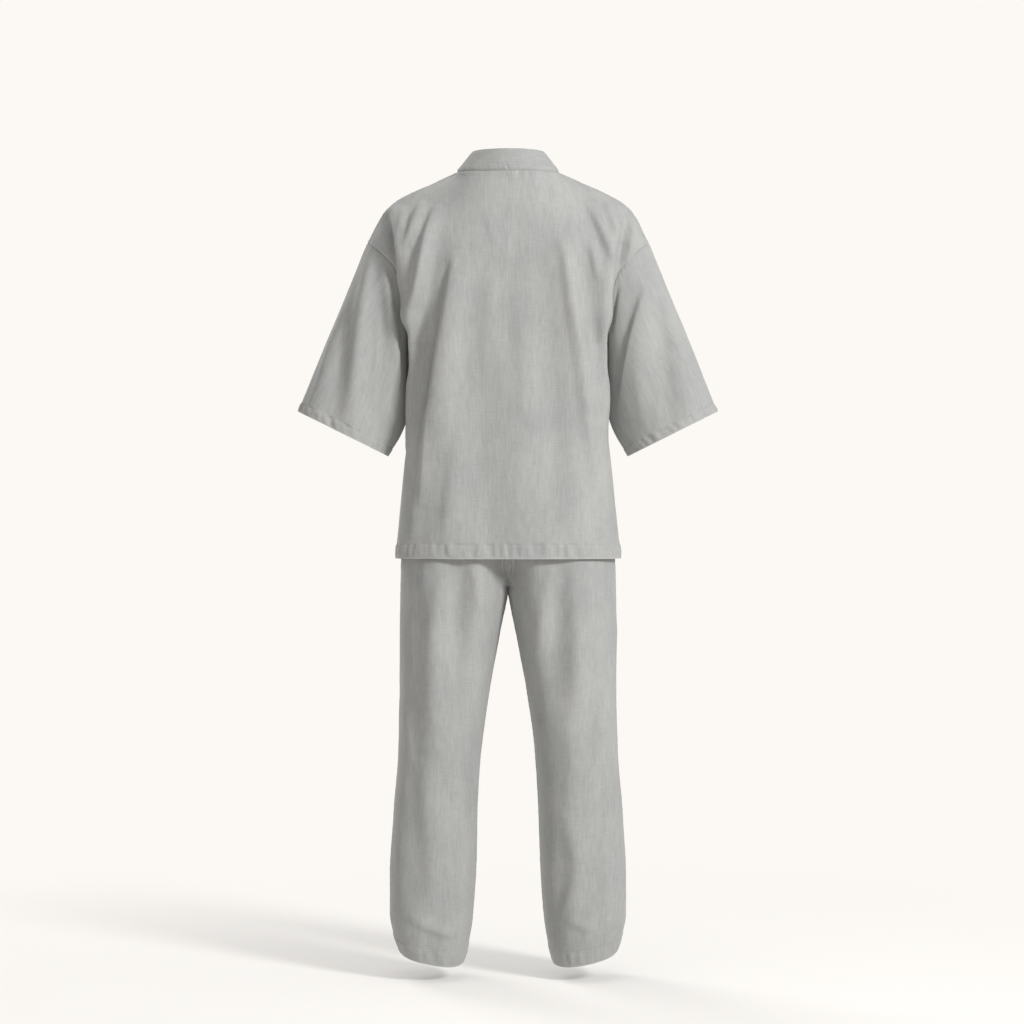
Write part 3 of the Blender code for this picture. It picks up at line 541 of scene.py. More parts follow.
def toward_shoulder(row_points, top_points, share, rise, nearness=3):
    """A row drawn towards the shape of the shoulder seam as it comes near it."""
    weight = max(0.0, rise - 1) ** nearness
    share = share[:, None]
    top_bend = top_points - mix(top_points[0], top_points[-1], share)
    chord = mix(row_points[0], row_points[-1], share)
    return mix(row_points, chord + top_bend, weight)


def rises():
    """The rise of each row of the top's panels."""
    low = UNDERARM_Z - HEM_Z
    high = NAPE_Z - UNDERARM_Z
    stitch = (TOP_HEM - 0.0012, TOP_HEM, TOP_HEM + 0.0012, VENT_HEIGHT)
    return np.concatenate([stations(low, stitch, BACK_STEP), 1 + stations(high, (), BACK_STEP)[1:]])


def back_columns():
    """Where the back's columns lie, 0 at the centre seam and 1 at the side, one at the neck point."""
    half = across(section(0.8, 1), np.linspace(math.pi / 2, 0, 400))
    shares = stations(travelled(half)[-1], (), BACK_STEP)
    columns = by_length(lambda u: across(section(0.8, 1), (1 - u) * math.pi / 2), shares)
    columns[np.abs(columns - NECK_SHARE).argmin()] = NECK_SHARE
    return columns


def back_panel():
    """Left back, from the centre-back seam to the side seam and armhole."""
    share = back_columns()
    on_neck = share < NECK_SHARE
    neck = neck_arc(share[on_neck] / NECK_SHARE)
    shoulder = shoulder_line((share[~on_neck] - NECK_SHARE) / (1 - NECK_SHARE))
    top = np.concatenate([neck, shoulder])
    rows = []
    for rise in rises():
        row = across(section(rise, 1), (1 - share) * math.pi / 2)
        rows.append(toward_shoulder(row, top, share, rise, NAPE_NEARNESS))
    return eased(np.array(rows), np.abs(share - NECK_SHARE).argmin())


def eased(grid, column):
    """A panel whose bend along one column rounds off below the panel's top edge."""
    down = travelled(grid[::-1])[::-1][:, column]
    run = travelled(grid, 1)
    moved = grid.copy()
    for row, places, drop in zip(moved, run, down):
        width = EASE_WIDTH * smooth(drop / EASE_DROP)
        if width > 0.001:
            weight = np.exp(-(((places[:, None] - places) / width) ** 2)) * np.gradient(places)
            soft = (weight / weight.sum(axis=1, keepdims=True)) @ row
            share = bell(places - places[column], EASE_REACH) * smooth(places / EASE_REACH)
            row += (soft - row) * share[:, None]
    return moved


def collar_seam(rise, layer):
    """Where the left front meets the collar; it crosses the chest to the right."""
    if rise <= 1 + CROSSING:
        row = section(rise, -1, layer)
        return across(row, angle_at(row, read(COLLAR_LINE, "z", "x", row["z"])))
    start = collar_seam(1 + CROSSING, layer)
    before = collar_seam(1 + CROSSING - 0.05, layer)
    pull = (start - before) / np.linalg.norm(start - before) * SEAM_START_PULL
    end = neck_arc(1.0)
    return bezier(start, pull, NECK_LEAN, end, (rise - 1 - CROSSING) / (1 - CROSSING))


def front_row(rise, layer, share):
    row = section(rise, -1, layer)
    seam = collar_seam(rise, layer)
    points = across(row, share * angle_at(row, seam[0]))
    return points + share[:, None] ** 2 * (seam - points[-1])


def front_panel(layer):
    """Left front, from the side seam and armhole to the collar seam."""
    width = travelled(front_row(0.5, layer, np.linspace(0, 1, 400)))[-1]
    share = by_length(lambda u: front_row(0.5, layer, u), stations(width))
    top = shoulder_line(1 - share)
    rows = [toward_shoulder(front_row(r, layer, share), top, share, r) for r in rises()]
    return np.array(rows)


def collar_top(rise, layer):
    """The collar's free edge on the left front."""
    if rise <= 1 + CROSSING:
        row = section(rise, -1, layer)
        z, step = row["z"], 0.01
        slant = (read(COLLAR_LINE, "z", "x", z) - read(COLLAR_LINE, "z", "x", z - step)) / step
        x = read(COLLAR_LINE, "z", "x", z) - COLLAR_WIDTH * math.hypot(1, slant)
        return across(row, angle_at(row, x))
    start = collar_top(1 + CROSSING, layer)
    end = collar_top_arc(1.0)
    return bezier(start, TOP_START_PULL, COLLAR_TOP_LEAN, end, (rise - 1 - CROSSING) / (1 - CROSSING))


def collar_top_arc(share):
    """The collar's free edge round the back of the neck, from the middle to the side."""
    turn = share * math.pi / 2
    y = mix(COLLAR_TOP_SIDE_Y, COLLAR_TOP_BACK_Y, math.cos(turn))
    return np.array([COLLAR_TOP_HALF * math.sin(turn), y, COLLAR_TOP_Z])


def collar_half(layer):
    """Collar from the left hem up to the middle of the back, from seam edge to free edge."""
    share = stations(COLLAR_WIDTH)[:, None]
    row = section(1 + CROSSING, -1, layer)
    edges = (collar_seam(1 + CROSSING, layer), collar_top(1 + CROSSING, layer))
    ends = [angle_at(row, edge[0]) for edge in edges]
    last_row = across(row, mix(ends[0], ends[1], share[:, 0]))
    last_bow = last_row - mix(last_row[0], last_row[-1], share)
    rows = []
    for rise in rises():
        seam, free = collar_seam(rise, layer), collar_top(rise, layer)
        if rise <= 1 + CROSSING:
            row = section(rise, -1, layer)
            angles = mix(angle_at(row, seam[0]), angle_at(row, free[0]), share[:, 0])
            rows.append(across(row, angles))
        else:
            fade = 1 - smooth((rise - 1 - CROSSING) / 0.3)
            rows.append(mix(seam, free, share) + last_bow * fade)
    for turn in back_columns()[::-1]:
        if turn < NECK_SHARE:
            rows.append(mix(neck_arc(turn / NECK_SHARE), collar_top_arc(turn / NECK_SHARE), share))
    return np.array(rows)


def mirrored(grid):
    return grid * np.array([-1, 1, 1])


def collar():
    """One band from the left hem round the neck to the right hem, under the left front."""
    left, right = collar_half(0), mirrored(collar_half(1))
    return np.concatenate([left, right[-2::-1]])


def sleeve_shares():
    """Places round the armhole from the underarm up the back, and the turn of each."""
    up = rises()[rises() >= 1] - 1
    face = np.concatenate([np.ones(len(up)), -np.ones(len(up) - 1)])
    share = np.concatenate([up, up[-2::-1]])
    turn = np.where(face > 0, share * math.pi, (2 - share) * math.pi)
    return share, face, turn


def sleeve():
    """Left sleeve: rings from the armhole to the hem. Its first and last columns meet."""
    share, face, turn = sleeve_shares()
    armhole = np.array([armhole_point(s, f) for s, f in zip(share, face)])
    outer, inner = np.array(SLEEVE_OUTER), np.array(SLEEVE_INNER)
    centre, half = (outer + inner) / 2, (outer - inner) / 2
    x = centre[0] - half[0] * np.cos(turn)
    z = centre[1] - half[1] * np.cos(turn)
    hem = np.stack([x, SLEEVE_HEM_Y + SLEEVE_HALF_DEPTH * np.sin(turn), z], -1)
    from_underarm = np.minimum(turn, 2 * math.pi - turn)
    hug = SLEEVE_HUG * bell(from_underarm, SLEEVE_HUG_ANGLE)
    length = travelled(np.stack([armhole.mean(0), hem.mean(0)]))[-1]
    stitch = (length - SLEEVE_HEM - 0.0012, length - SLEEVE_HEM, length - SLEEVE_HEM + 0.0012)
    rings = []
    for s in stations(length, stitch):
        ring = mix(armhole, hem, s)
        ring[:, 0] -= hug * math.sin(math.pi * s**1.5)
        stand = UNDERARM_STAND * (1 - smooth(from_underarm / (math.pi / 2)))
        ring[:, 0] += stand * (1 - s) * smooth(s / 0.02)
        rings.append(ring)
    return np.array(rings)


# The trousers


def trouser_row(side_z, face, share):
    """One row of a left trouser panel, from the side seam to the inseam or centre seam."""
    part = "back" if face > 0 else "front"
    outer, inner, inner_z, mid_y, inner_y, depth = (
        read(TROUSER, "side_z", name, side_z)
        for name in ("outer", "inner", "inner_z", "mid_y", part + "_in", part)
    )
    roundness = 2 / TROUSER_SQUARENESS
    last = math.pi - math.asin(min(1.0, (inner_y / depth) ** (1 / roundness)))
    width = (outer - inner) / (1 + abs(math.cos(last)) ** roundness)
    angle = share * last
    x = outer - width + width * power(np.cos(angle), roundness)
    y = mid_y + face * depth * power(np.sin(angle), roundness)
    z = mix(side_z, inner_z, share**2)
    fade = np.clip(1 - (side_z - TROUSER_HEM_Z) / HEM_TILT_REACH, 0, 1) ** 2
    z += fade * (HEM_TILT_X * (x - (outer + inner) / 2) + HEM_TILT_Y * (y - mid_y))
    return np.stack([x, y, z], -1)


def trouser_panel(face):
    knee = CROTCH_Z - 0.2
    width = travelled(trouser_row(knee, face, np.linspace(0, 1, 400)))[-1]
    share = by_length(lambda u: trouser_row(knee, face, u), stations(width))
    height = WAIST_Z - TROUSER_HEM_Z
    stitch = (TROUSER_HEM - 0.0012, TROUSER_HEM, TROUSER_HEM + 0.0012, CROTCH_Z - TROUSER_HEM_Z)
    side_z = TROUSER_HEM_Z + height * stations(height, stitch)
    return np.array([trouser_row(z, face, share) for z in side_z])


def waistband(back, front):
    """A ring above the panels' top edges. Its first and last columns meet."""
    back, front = back[-1], front[-1]
    ring = np.concatenate([back[:-1], mirrored(back)[:0:-1], mirrored(front)[:-1], front[::-1]])
    rings = []
    for share in stations(WAISTBAND_HEIGHT):
        grown = ring.copy()
        outward = ring[:, :2] / np.linalg.norm(ring[:, :2], axis=1)[:, None]
        grown[:, :2] += outward * WAISTBAND_TOP_GROWTH * share
        grown[:, 2] += WAISTBAND_HEIGHT * share
        rings.append(grown)
    return np.array(rings)


# Folds and creases


def fold_lift(points, folds):
    """How far each point moves out for the folds, judged by its x and z alone."""
    lift = np.zeros(points.shape[:-1])
    flat = points[..., [0, 2]]
    for x_top, z_top, x_foot, z_foot, reach, height in zip(*folds.values()):
        start, run = np.array([x_top, z_top]), np.array([x_foot - x_top, z_foot - z_top])
        along = np.clip(((flat - start) @ run) / (run @ run), 0, 1)
        away = np.linalg.norm(flat - start - along[..., None] * run, axis=-1)
        lift += height * bell(away, reach) * np.sin(math.pi * (0.12 + 0.76 * along))
    return lift


def folded(grid, folds, across_first_edge=False):
    """A panel with its folds, which die out at its seams, but not at its hem."""
    over, up = travelled(grid, 1), travelled(grid, 0)
    u = over / over[:, -1:]
    to_first = 1.0 if across_first_edge else smooth(u / FOLD_FADE)
    fade = to_first * smooth((1 - u) / FOLD_FADE) * smooth((1 - up / up[-1:]) / FOLD_FADE)
    face = np.sign(grid[..., 1].mean())
    moved = grid.copy()
    moved[..., 1] += face * fade * fold_lift(grid, folds)
    return moved


def folded_sleeve(rings, folds):
    """Sleeve rings with their folds, which die out at the armhole."""
    down = travelled(rings, 0)
    fade = smooth(down / down[-1:] / SLEEVE_FOLD_FADE)
    centre = rings.mean(axis=1, keepdims=True)
    outwards = np.clip((rings[..., 1] - centre[..., 1]) / SLEEVE_FOLD_DEPTH, -1, 1)
    moved = rings.copy()
    moved[..., 1] += outwards * fade * fold_lift(rings, folds)
    return moved


def crease_lift(points, creases):
    """Relief of the creases, judged by x and z: soft troughs and ridges that taper at both ends."""
    flat = points[..., [0, 2]].reshape(-1, 2)
    t = np.linspace(0, 1, 160)[:, None]
    relief = np.zeros(len(flat))
    for x_top, z_top, x_bend, z_bend, x_foot, z_foot, left, right, lift in zip(*creases.values()):
        top, bend, foot = (np.array(p) for p in ((x_top, z_top), (x_bend, z_bend), (x_foot, z_foot)))
        path = (1 - t) ** 2 * top + 2 * t * (1 - t) * (2 * bend - (top + foot) / 2) + t * t * foot
        away = np.linalg.norm(flat[:, None] - path, axis=2)
        near = away.argmin(axis=1)
        offset = flat - path[near]
        run = np.gradient(path, axis=0)[near]
        side = run[:, 1] * offset[:, 0] - run[:, 0] * offset[:, 1]
        reach = np.where(side < 0, left, right)
        taper = np.sin(math.pi * np.clip(t[near, 0], 0, 1)) ** 0.7
        relief += lift * bell(away.min(axis=1), reach) * taper
    return relief.reshape(points.shape[:-1])


def rumple(points, seed):
    """Soft unevenness over the whole set, the same on both sides of a seam."""
    relief = np.zeros(points.shape[:-1])
    flat = relief.reshape(-1)
    for over, down, height in RUMPLES:
        places = points.reshape(-1, 3) / (over, over, down) + seed
        flat += height * np.array([noise.noise(p) for p in places])
    return relief


def waves(along, up, pitch, seed):
    """Uneven waves a pitch apart, such as the puckers of a hem."""
    places = zip(along.ravel(), up.ravel())
    values = [noise.noise((a * 1.7 / pitch, b / (3 * pitch), seed)) for a, b in places]
    return np.array(values).reshape(along.shape)


# Panels and their seams


def normals(grid, ring):
    """Unit normals of a grid's points."""
    along = np.gradient(grid, axis=0)
    over = np.gradient(grid, axis=1)
    if ring:
        over[:, 0] = over[:, -1] = grid[:, 1] - grid[:, -2]
    normal = np.cross(over, along)
    return normal / np.linalg.norm(normal, axis=-1, keepdims=True)


def cut(name, grid, grain_x=0.0, heart_x=0.0, ring=False):
    """A piece before it is sewn. Its columns run so that its faces point away from heart_x."""
    heart = grid.mean(axis=1, keepdims=True) * (0, 0, 1) + (heart_x, 0, 0)
    if np.sum(normals(grid, ring) * (grid - heart)) < 0:
        grid = grid[:, ::-1]
    over, up = travelled(grid, 1), travelled(grid, 0)
    piece = {
        "name": name,
        "grid": grid,
        "normal": normals(grid, ring),
        "ring": ring,
        "over": over,
        "up": up,
        "flat": np.stack([over, up], -1),
        "relief": np.zeros(grid.shape[:2]),
        "wear": np.zeros(grid.shape[:2]),
    }
    if not ring:
        piece["flat"] = hanging_flat(grid, grain_x)
    return piece


def hanging_flat(grid, grain_x):
    """Places on the cut of a hanging panel, whose grain runs straight down at grain_x."""
    over, up = travelled(grid[..., :2], 1), travelled(grid[..., 1:], 0)
    for row, places in zip(grid, over):
        order = np.argsort(row[:, 0])
        places -= np.interp(grain_x, row[order, 0], places[order])
    return np.stack([over, up], -1)


def borders(piece):
    shape = piece["grid"].shape[:2]
    mark = np.zeros(shape, bool)
    mark[[0, -1]] = True
    if not piece["ring"]:
        mark[:, [0, -1]] = True
    return mark


def sew(pieces):
    """Where borders meet, both pieces get the same normal, so their relief stays together."""
    marks = [borders(piece) for piece in pieces]
    places = np.concatenate([piece["grid"][mark] for piece, mark in zip(pieces, marks)])
    facing = np.concatenate([piece["normal"][mark] for piece, mark in zip(pieces, marks)])
    tree = kdtree.KDTree(len(places))
    for i, place in enumerate(places):
        tree.insert(place, i)
    tree.balance()
    for piece, mark in zip(pieces, marks):
        met = [[i for _, i, _ in tree.find_range(p, SEWN_WITHIN)] for p in piece["grid"][mark]]
        sewn = np.array([facing[found].sum(0) for found in met])
        piece["normal"][mark] = sewn / np.linalg.norm(sewn, axis=1, keepdims=True)


def seam(piece, away, along, seed, groove=SEAM_GROOVE):
    """A seam's groove and the slight puckers beside it."""
    piece["relief"] -= groove * bell(away, SEAM_REACH)
    ripple = waves(along, away, 0.010, seed)
    piece["relief"] += SEAM_PUCKER * groove / SEAM_GROOVE * ripple * bell(away - 0.006, 0.008)


def felled(piece, away, share=1.0):
    """The doubled allowance that two rows of stitches hold flat beside a seam."""
    near, far = FELL
    swell = smooth(away / near) * (1 - smooth((away - far) / 0.0014))
    grooves = bell(away - near, 0.0010) + bell(away - far, 0.0012)
    piece["relief"] += share * (FELL_SWELL * swell - FELL_GROOVE * grooves)
    piece["wear"] += 0.35 * share * bell(away - 0.0048, 0.0030)


def hem(piece, away, along, height, seed, slant=0.35, share=1.0):
    """A folded hem: thicker below its line of stitches, grooved at it, and puckered."""
    piece["relief"] += HEM_SWELL * (1 - smooth((away - height) / 0.0014))
    piece["relief"] -= HEM_GROOVE * bell(away - height, 0.0013)
    ripple = np.tanh(3.2 * waves(along - slant * away, away, 0.021, seed))
    if piece["ring"]:
        ripple *= smooth(np.minimum(along, along[:, -1:] - along) / 0.010)
    spread = smooth(away / (0.35 * height)) * (1 - smooth((away - 1.02 * height) / (0.18 * height)))
    piece["relief"] += share * HEM_PUCKER * ripple * spread
    piece["wear"] += bell(away, 0.0020) + 0.20 * bell(away - height, 0.002)


def place_at(values, run, distance):
    """Values of a grid at a distance down each of its columns."""
    columns = range(values.shape[1])
    picked = [[np.interp(distance, run[:, c], values[:, c, k]) for k in range(3)] for c in columns]
    return np.array(picked)


def line_along(piece, edge, inset):
    """Points and normals of a line on the finished cloth at a constant distance from an edge."""
    turned = {"first_row": 0, "last_row": 0, "first_column": 1, "last_column": 1}[edge]
    formed, normal = piece["formed"], piece["normal"]
    if turned:
        formed, normal = formed.swapaxes(0, 1), normal.swapaxes(0, 1)
    if edge.startswith("last"):
        formed, normal = formed[::-1], normal[::-1]
    run = travelled(formed, 0)
    return place_at(formed, run, inset), place_at(normal, run, inset)


def formed(piece, creases, fade_side=0.010, calm=None, seed=7.3):
    """The piece with its creases and unevenness, moved out along its normals."""
    over, up = piece["over"], piece["up"]
    fade = 1.0
    if not piece["ring"]:
        sides = np.minimum(over, over[:, -1:] - over)
        fade = smooth((sides + 0.002) / fade_side)
    relief = crease_lift(piece["grid"], creases) * fade + rumple(piece["grid"], seed)
    if calm is not None:
        relief = relief * calm
    piece["formed"] = piece["grid"] + piece["normal"] * (relief + piece["relief"])[..., None]
    piece["normal"] = normals(piece["formed"], piece["ring"])
    return piece


# Meshes


def alone(obj):
    """Only this object is selected, and it is active."""
    bpy.ops.object.select_all(action="DESELECT")
    obj.select_set(True)
    bpy.context.view_layer.objects.active = obj


def finish_with(obj, kind, **settings):
    modifier = obj.modifiers.new(kind.title(), kind)
    for name, value in settings.items():
        setattr(modifier, name, value)
    alone(obj)
    bpy.ops.object.modifier_apply(modifier=modifier.name)


def draped(piece, cloth, lay, material):
    """A flat grid of cloth laid over the piece's form, walled to its thickness."""
    grid = piece["formed"]
    rows, columns = grid.shape[:2]
    bpy.ops.object.select_all(action="DESELECT")
    bpy.ops.mesh.primitive_grid_add(x_subdivisions=columns - 1, y_subdivisions=rows - 1, size=2)
    obj = bpy.context.object
    obj.name = piece["name"] + "_cloth"
    data = obj.data
    flat = np.empty(len(data.vertices) * 3)
    data.vertices.foreach_get("co", flat)
    share = (flat.reshape(-1, 3)[:, :2] + 1) / 2
    column, row = np.rint(share * (columns - 1, rows - 1)).astype(int).T
    data.vertices.foreach_set("co", grid[row, column].ravel())
    corner = np.empty(len(data.loops), int)
    data.loops.foreach_get("vertex_index", corner)
    cut_place = (piece["flat"] + (lay, 0))[row, column][corner]
    data.uv_layers[0].name = "cut"
    data.uv_layers[0].data.foreach_set("uv", cut_place.ravel())
    wear = data.attributes.new("wear", "FLOAT", "POINT")
    wear.data.foreach_set("value", np.clip(piece["wear"], 0, 1)[row, column])
    data.update()
    if piece["ring"]:
        alone(obj)
        bpy.ops.object.mode_set(mode="EDIT")
        bpy.ops.mesh.select_all(action="SELECT")
        bpy.ops.mesh.remove_doubles(threshold=0.00005)
        bpy.ops.object.mode_set(mode="OBJECT")
    finish_with(obj, "SOLIDIFY", thickness=cloth, offset=0.0)
    bpy.ops.object.shade_smooth_by_angle(angle=math.radians(50))
    obj.data.materials.append(material)
    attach(obj, "root")
    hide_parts(piece["name"])
    return obj


def one_stitch():
    """Corners and faces of a stitch: a short grain of thread, pointed at both ends."""
    bpy.ops.object.select_all(action="DESELECT")
    bpy.ops.mesh.primitive_uv_sphere_add(segments=5, ring_count=3, radius=1.0, rotation=(0, math.pi / 2, 0))
    obj = bpy.context.object
    bpy.ops.object.transform_apply()
    obj.data.transform(((STITCH / 2, 0, 0, 0), (0, THREAD, 0, 0), (0, 0, THREAD * 0.7, 0), (0, 0, 0, 1)))
    corners = np.array([v.co for v in obj.data.vertices])
    faces = [tuple(p.vertices) for p in obj.data.polygons]
    bpy.data.objects.remove(obj)
    return corners, faces


def stitched(piece, cloth, lines, thread):
    """All the stitches of a piece in one mesh. Each line is an edge, its inset and its shares."""
    corners, faces = STITCH_SHAPE
    places, frames = [], []
    for edge, inset, start, end in lines:
        points, facing = line_along(piece, edge, inset)
        run = travelled(points)
        at = np.arange(start * run[-1] + STITCH_PITCH, end * run[-1] - STITCH_PITCH, STITCH_PITCH)
        point = np.stack([np.interp(at, run, points[:, k]) for k in range(3)], -1)
        ahead = np.stack([np.interp(at + STITCH / 2, run, points[:, k]) for k in range(3)], -1)
        out = np.stack([np.interp(at, run, facing[:, k]) for k in range(3)], -1)
        out /= np.linalg.norm(out, axis=1, keepdims=True)
        tangent = ahead - point
        tangent /= np.linalg.norm(tangent, axis=1, keepdims=True)
        side = np.cross(out, tangent)
        places.append(point + out * (cloth / 2 + THREAD * 0.2))
        frames.append(np.stack([tangent, side, out], 1))
    places, frames = np.concatenate(places), np.concatenate(frames)
    vertices = places[:, None] + np.einsum("ck,nkj->ncj", corners, frames)
    data = bpy.data.meshes.new(piece["name"] + "_stitches")
    count = len(corners)
    everywhere = [tuple(count * n + i for i in face) for n in range(len(places)) for face in faces]
    data.from_pydata(vertices.reshape(-1, 3), [], everywhere)
    data.shade_smooth()
    data.materials.append(thread)
    obj = bpy.data.objects.new(data.name, data)
    bpy.context.scene.collection.objects.link(obj)
    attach(obj, "root")
    return obj


def declare(piece, with_pieces=()):
    """Measures the widths of the piece's rows and the lengths of its columns, and does nothing more with
    them.
    """
    grid = piece["grid"]
    over, up = travelled(grid, 1)[:, -1], travelled(grid, 0)[-1]


# Materials


class Value:
    """A shader socket that takes part in arithmetic, each operation adding its Math node."""

    def __init__(self, shop, socket):
        self.shop, self.socket = shop, socket

    def maths(self, operation, *values):
        return self.shop.node("ShaderNodeMath", {"operation": operation}, *values)

    def __add__(self, other):
        return self.maths("ADD", self, other)

    def __radd__(self, other):
        return self.maths("ADD", other, self)

    def __sub__(self, other):
        return self.maths("SUBTRACT", self, other)

    def __rsub__(self, other):
        return self.maths("SUBTRACT", other, self)

    def __mul__(self, other):
        return self.maths("MULTIPLY", self, other)

    def __rmul__(self, other):
        return self.maths("MULTIPLY", other, self)

    def clipped(self, low, high):
        """0 below low, 1 above high and even between."""
        settings = {"interpolation_type": "SMOOTHSTEP"}
        return self.shop.node("ShaderNodeMapRange", settings, self, low, high)


class Shop:
    """The nodes of a material or of the world."""

    def __init__(self, owner, shader="Principled BSDF"):
        owner.use_nodes = True
        self.owner = owner
        self.tree = owner.node_tree
        self.shader = self.tree.nodes[shader]

    def node(self, kind, settings=None, *values, sockets=None, output=0, **named):
        """The output of a new node with its settings, its sockets filled in order, by number or name."""
        made = self.tree.nodes.new(kind)
        for name, value in (settings or {}).items():
            setattr(made, name, value)
        for key, value in [*enumerate(values), *(sockets or {}).items(), *named.items()]:
            self.fill(made.inputs[key.replace("_", " ") if isinstance(key, str) else key], value)
        return Value(self, made.outputs[output])

    def fill(self, socket, value):
        if isinstance(value, Value):
            self.tree.links.new(value.socket, socket)
        else:
            socket.default_value = value

    def stretched(self, place, over, up):
        """A place on the cut, with its two directions counted in the given lengths."""
        scale = {"operation": "MULTIPLY"}
        return self.node("ShaderNodeVectorMath", scale, place, (1 / over, 1 / up, 1.0))

    def noise(self, place, over, up, detail=2.0):
        """Noise from 0 to 1, whose grains are about `over` wide and `up` long in metres."""
        return self.node(
            "ShaderNodeTexNoise", None, Vector=self.stretched(place, over, up), Scale=1.0, Detail=detail
        )

    def blend(self, share, first, second, how="MIX"):
        """The second colour laid over the first by its share."""
        settings = {"data_type": "RGBA", "blend_type": how}
        sockets = {0: share, 6: first, 7: second}
        return self.node("ShaderNodeMix", settings, sockets=sockets, output=2)


def chambray(name, dyed, undyed):
    """Grey chambray: dyed warp with thick and thin yarns, pale weft, neps and a worn edge."""
    shop = Shop(bpy.data.materials.new(name))
    place = shop.node("ShaderNodeUVMap", {"uv_map": "cut"})
    worn = shop.node("ShaderNodeAttribute", {"attribute_name": "wear"}, output="Fac")
    slubs = shop.noise(place, 0.0040, 0.034)
    yarns = shop.noise(place, 0.0011, 0.022)
    weft = shop.noise(place, 0.026, 0.0012)
    bands = shop.noise(place, 0.018, 0.240, 1.0)
    cloudy = shop.noise(place, 0.070, 0.110, 3.0)
    warp_thread = shop.noise(place, 0.00055, 0.0030, 1.0)
    weft_thread = shop.noise(place, 0.0030, 0.00055, 1.0)
    neps = shop.noise(place, 0.0024, 0.0030, 1.0).clipped(0.72, 0.80)
    streak = 0.55 * slubs + 0.45 * yarns
    pale = 0.5 + 0.75 * (streak - 0.5) + 0.40 * (weft - 0.5)
    pale = pale + 0.20 * (bands - 0.5) + 0.35 * (cloudy - 0.5)
    pale = pale + 0.35 * (warp_thread - 0.5) + 0.30 * (weft_thread - 0.5)
    pale = pale + 0.35 * neps + 0.22 * worn
    colour = shop.blend(pale.clipped(0.0, 1.0), dyed, undyed)
    tint = shop.blend(cloudy.clipped(0.3, 0.7), COOL_TONE, (1.0, 1.0, 1.0, 1.0))
    shop.fill(shop.shader.inputs["Base Color"], shop.blend(1.0, colour, tint, "MULTIPLY"))
    rough = 0.86 + 0.12 * (yarns - 0.5) - 0.06 * worn
    shop.fill(shop.shader.inputs["Roughness"], rough)
    weave = warp_thread + weft_thread + 0.9 * slubs + 0.5 * yarns + 0.4 * weft + 0.6 * neps
    bump = shop.node("ShaderNodeBump", None, Strength=0.35, Distance=0.0006, Height=weave)
    shop.fill(shop.shader.inputs["Normal"], bump)
    shop.shader.inputs["Sheen Weight"].default_value = 0.18
    shop.shader.inputs["Sheen Roughness"].default_value = 0.45
    shop.shader.inputs["Specular IOR Level"].default_value = 0.22
    return shop.owner


def sewing_thread():
    """Pale grey cotton thread, a little uneven along its run."""
    shop = Shop(bpy.data.materials.new("sewing_thread"))
    place = shop.node("ShaderNodeTexCoord", output="Object")
    tone = shop.node("ShaderNodeTexNoise", None, Vector=place, Scale=900.0, Detail=1.0)
    colour = shop.blend(tone.clipped(0.3, 0.7), (0.30, 0.30, 0.285, 1.0), (0.52, 0.52, 0.50, 1.0))
    shop.fill(shop.shader.inputs["Base Color"], colour)
    shop.fill(shop.shader.inputs["Roughness"], 0.62 + 0.2 * tone)
    return shop.owner


# Light, floor and camera


def studio():
    """A pale floor that runs into the backdrop, soft lights and the camera behind the set."""
    bpy.ops.object.select_all(action="DESELECT")
    bpy.ops.mesh.primitive_plane_add(size=80, location=(0, 0, FLOOR_Z))
    floor = bpy.context.object
    floor.name = "floor"
    shop = Shop(bpy.data.materials.new("pale_floor"))
    shop.shader.inputs["Base Color"].default_value = (0.90, 0.885, 0.86, 1.0)
    shop.shader.inputs["Roughness"].default_value = 0.9
    shop.shader.inputs["Specular IOR Level"].default_value = 0.0
    place = shop.node("ShaderNodeTexCoord", output="Object")
    away = shop.node("ShaderNodeVectorMath", {"operation": "LENGTH"}, place, output="Value")
    share = 0.35 + 0.65 * away.clipped(0.30, 2.0)
    glow = shop.node("ShaderNodeEmission", None, BACKDROP)
    lit = Value(shop, shop.shader.outputs[0])
    surface = shop.node("ShaderNodeMixShader", None, share, lit, glow)
    shop.fill(shop.tree.nodes["Material Output"].inputs[0], surface)
    floor.data.materials.append(shop.owner)

    for x, y, z, aim_z, size, energy in zip(*LIGHTS.values()):
        bpy.ops.object.light_add(type="AREA", location=(x, y, z))
        lamp = bpy.context.object
        lamp.data.shape = "DISK"
        lamp.data.size = size
        lamp.data.energy = energy
        down = math.atan2(math.hypot(x, y), z - aim_z)
        lamp.rotation_euler = (down, 0, math.atan2(x, -y))

    world = bpy.data.worlds.new("studio")
    bpy.context.scene.world = world
    shop = Shop(world, "Background")
    shop.fill(shop.shader.inputs["Color"], BACKDROP)
    by_camera = shop.node("ShaderNodeLightPath", output="Is Camera Ray")
    fill = shop.node("ShaderNodeBackground", None, FILL_COLOUR, FILL_STRENGTH)
    seen = Value(shop, shop.shader.outputs[0])
    either = shop.node("ShaderNodeMixShader", None, by_camera, fill, seen)
    shop.fill(shop.tree.nodes["World Output"].inputs[0], either)

    bpy.ops.object.camera_add(location=CAMERA_PLACE, rotation=(math.pi / 2, 0, math.pi))
    camera = bpy.context.object
    camera.data.sensor_width = CAMERA_SENSOR
    camera.data.lens = CAMERA_LENS
    bpy.context.scene.camera = camera
    bpy.context.scene.view_settings.view_transform = "Standard"


# The bow


def front_surface(x, z, lift, layer):
    """A point over the front at x and z, moved out by lift. Layer 1 is the under front."""
    row = section((z - HEM_Z) / (UNDERARM_Z - HEM_Z), -1, layer)
    place, beside = across(row, angle_at(row, x)), across(row, angle_at(row, x + 0.002))
    normal = np.cross(beside - place, (0, 0, 1))
    normal *= np.sign(-normal[1]) / np.linalg.norm(normal)
    return place + normal * lift, normal


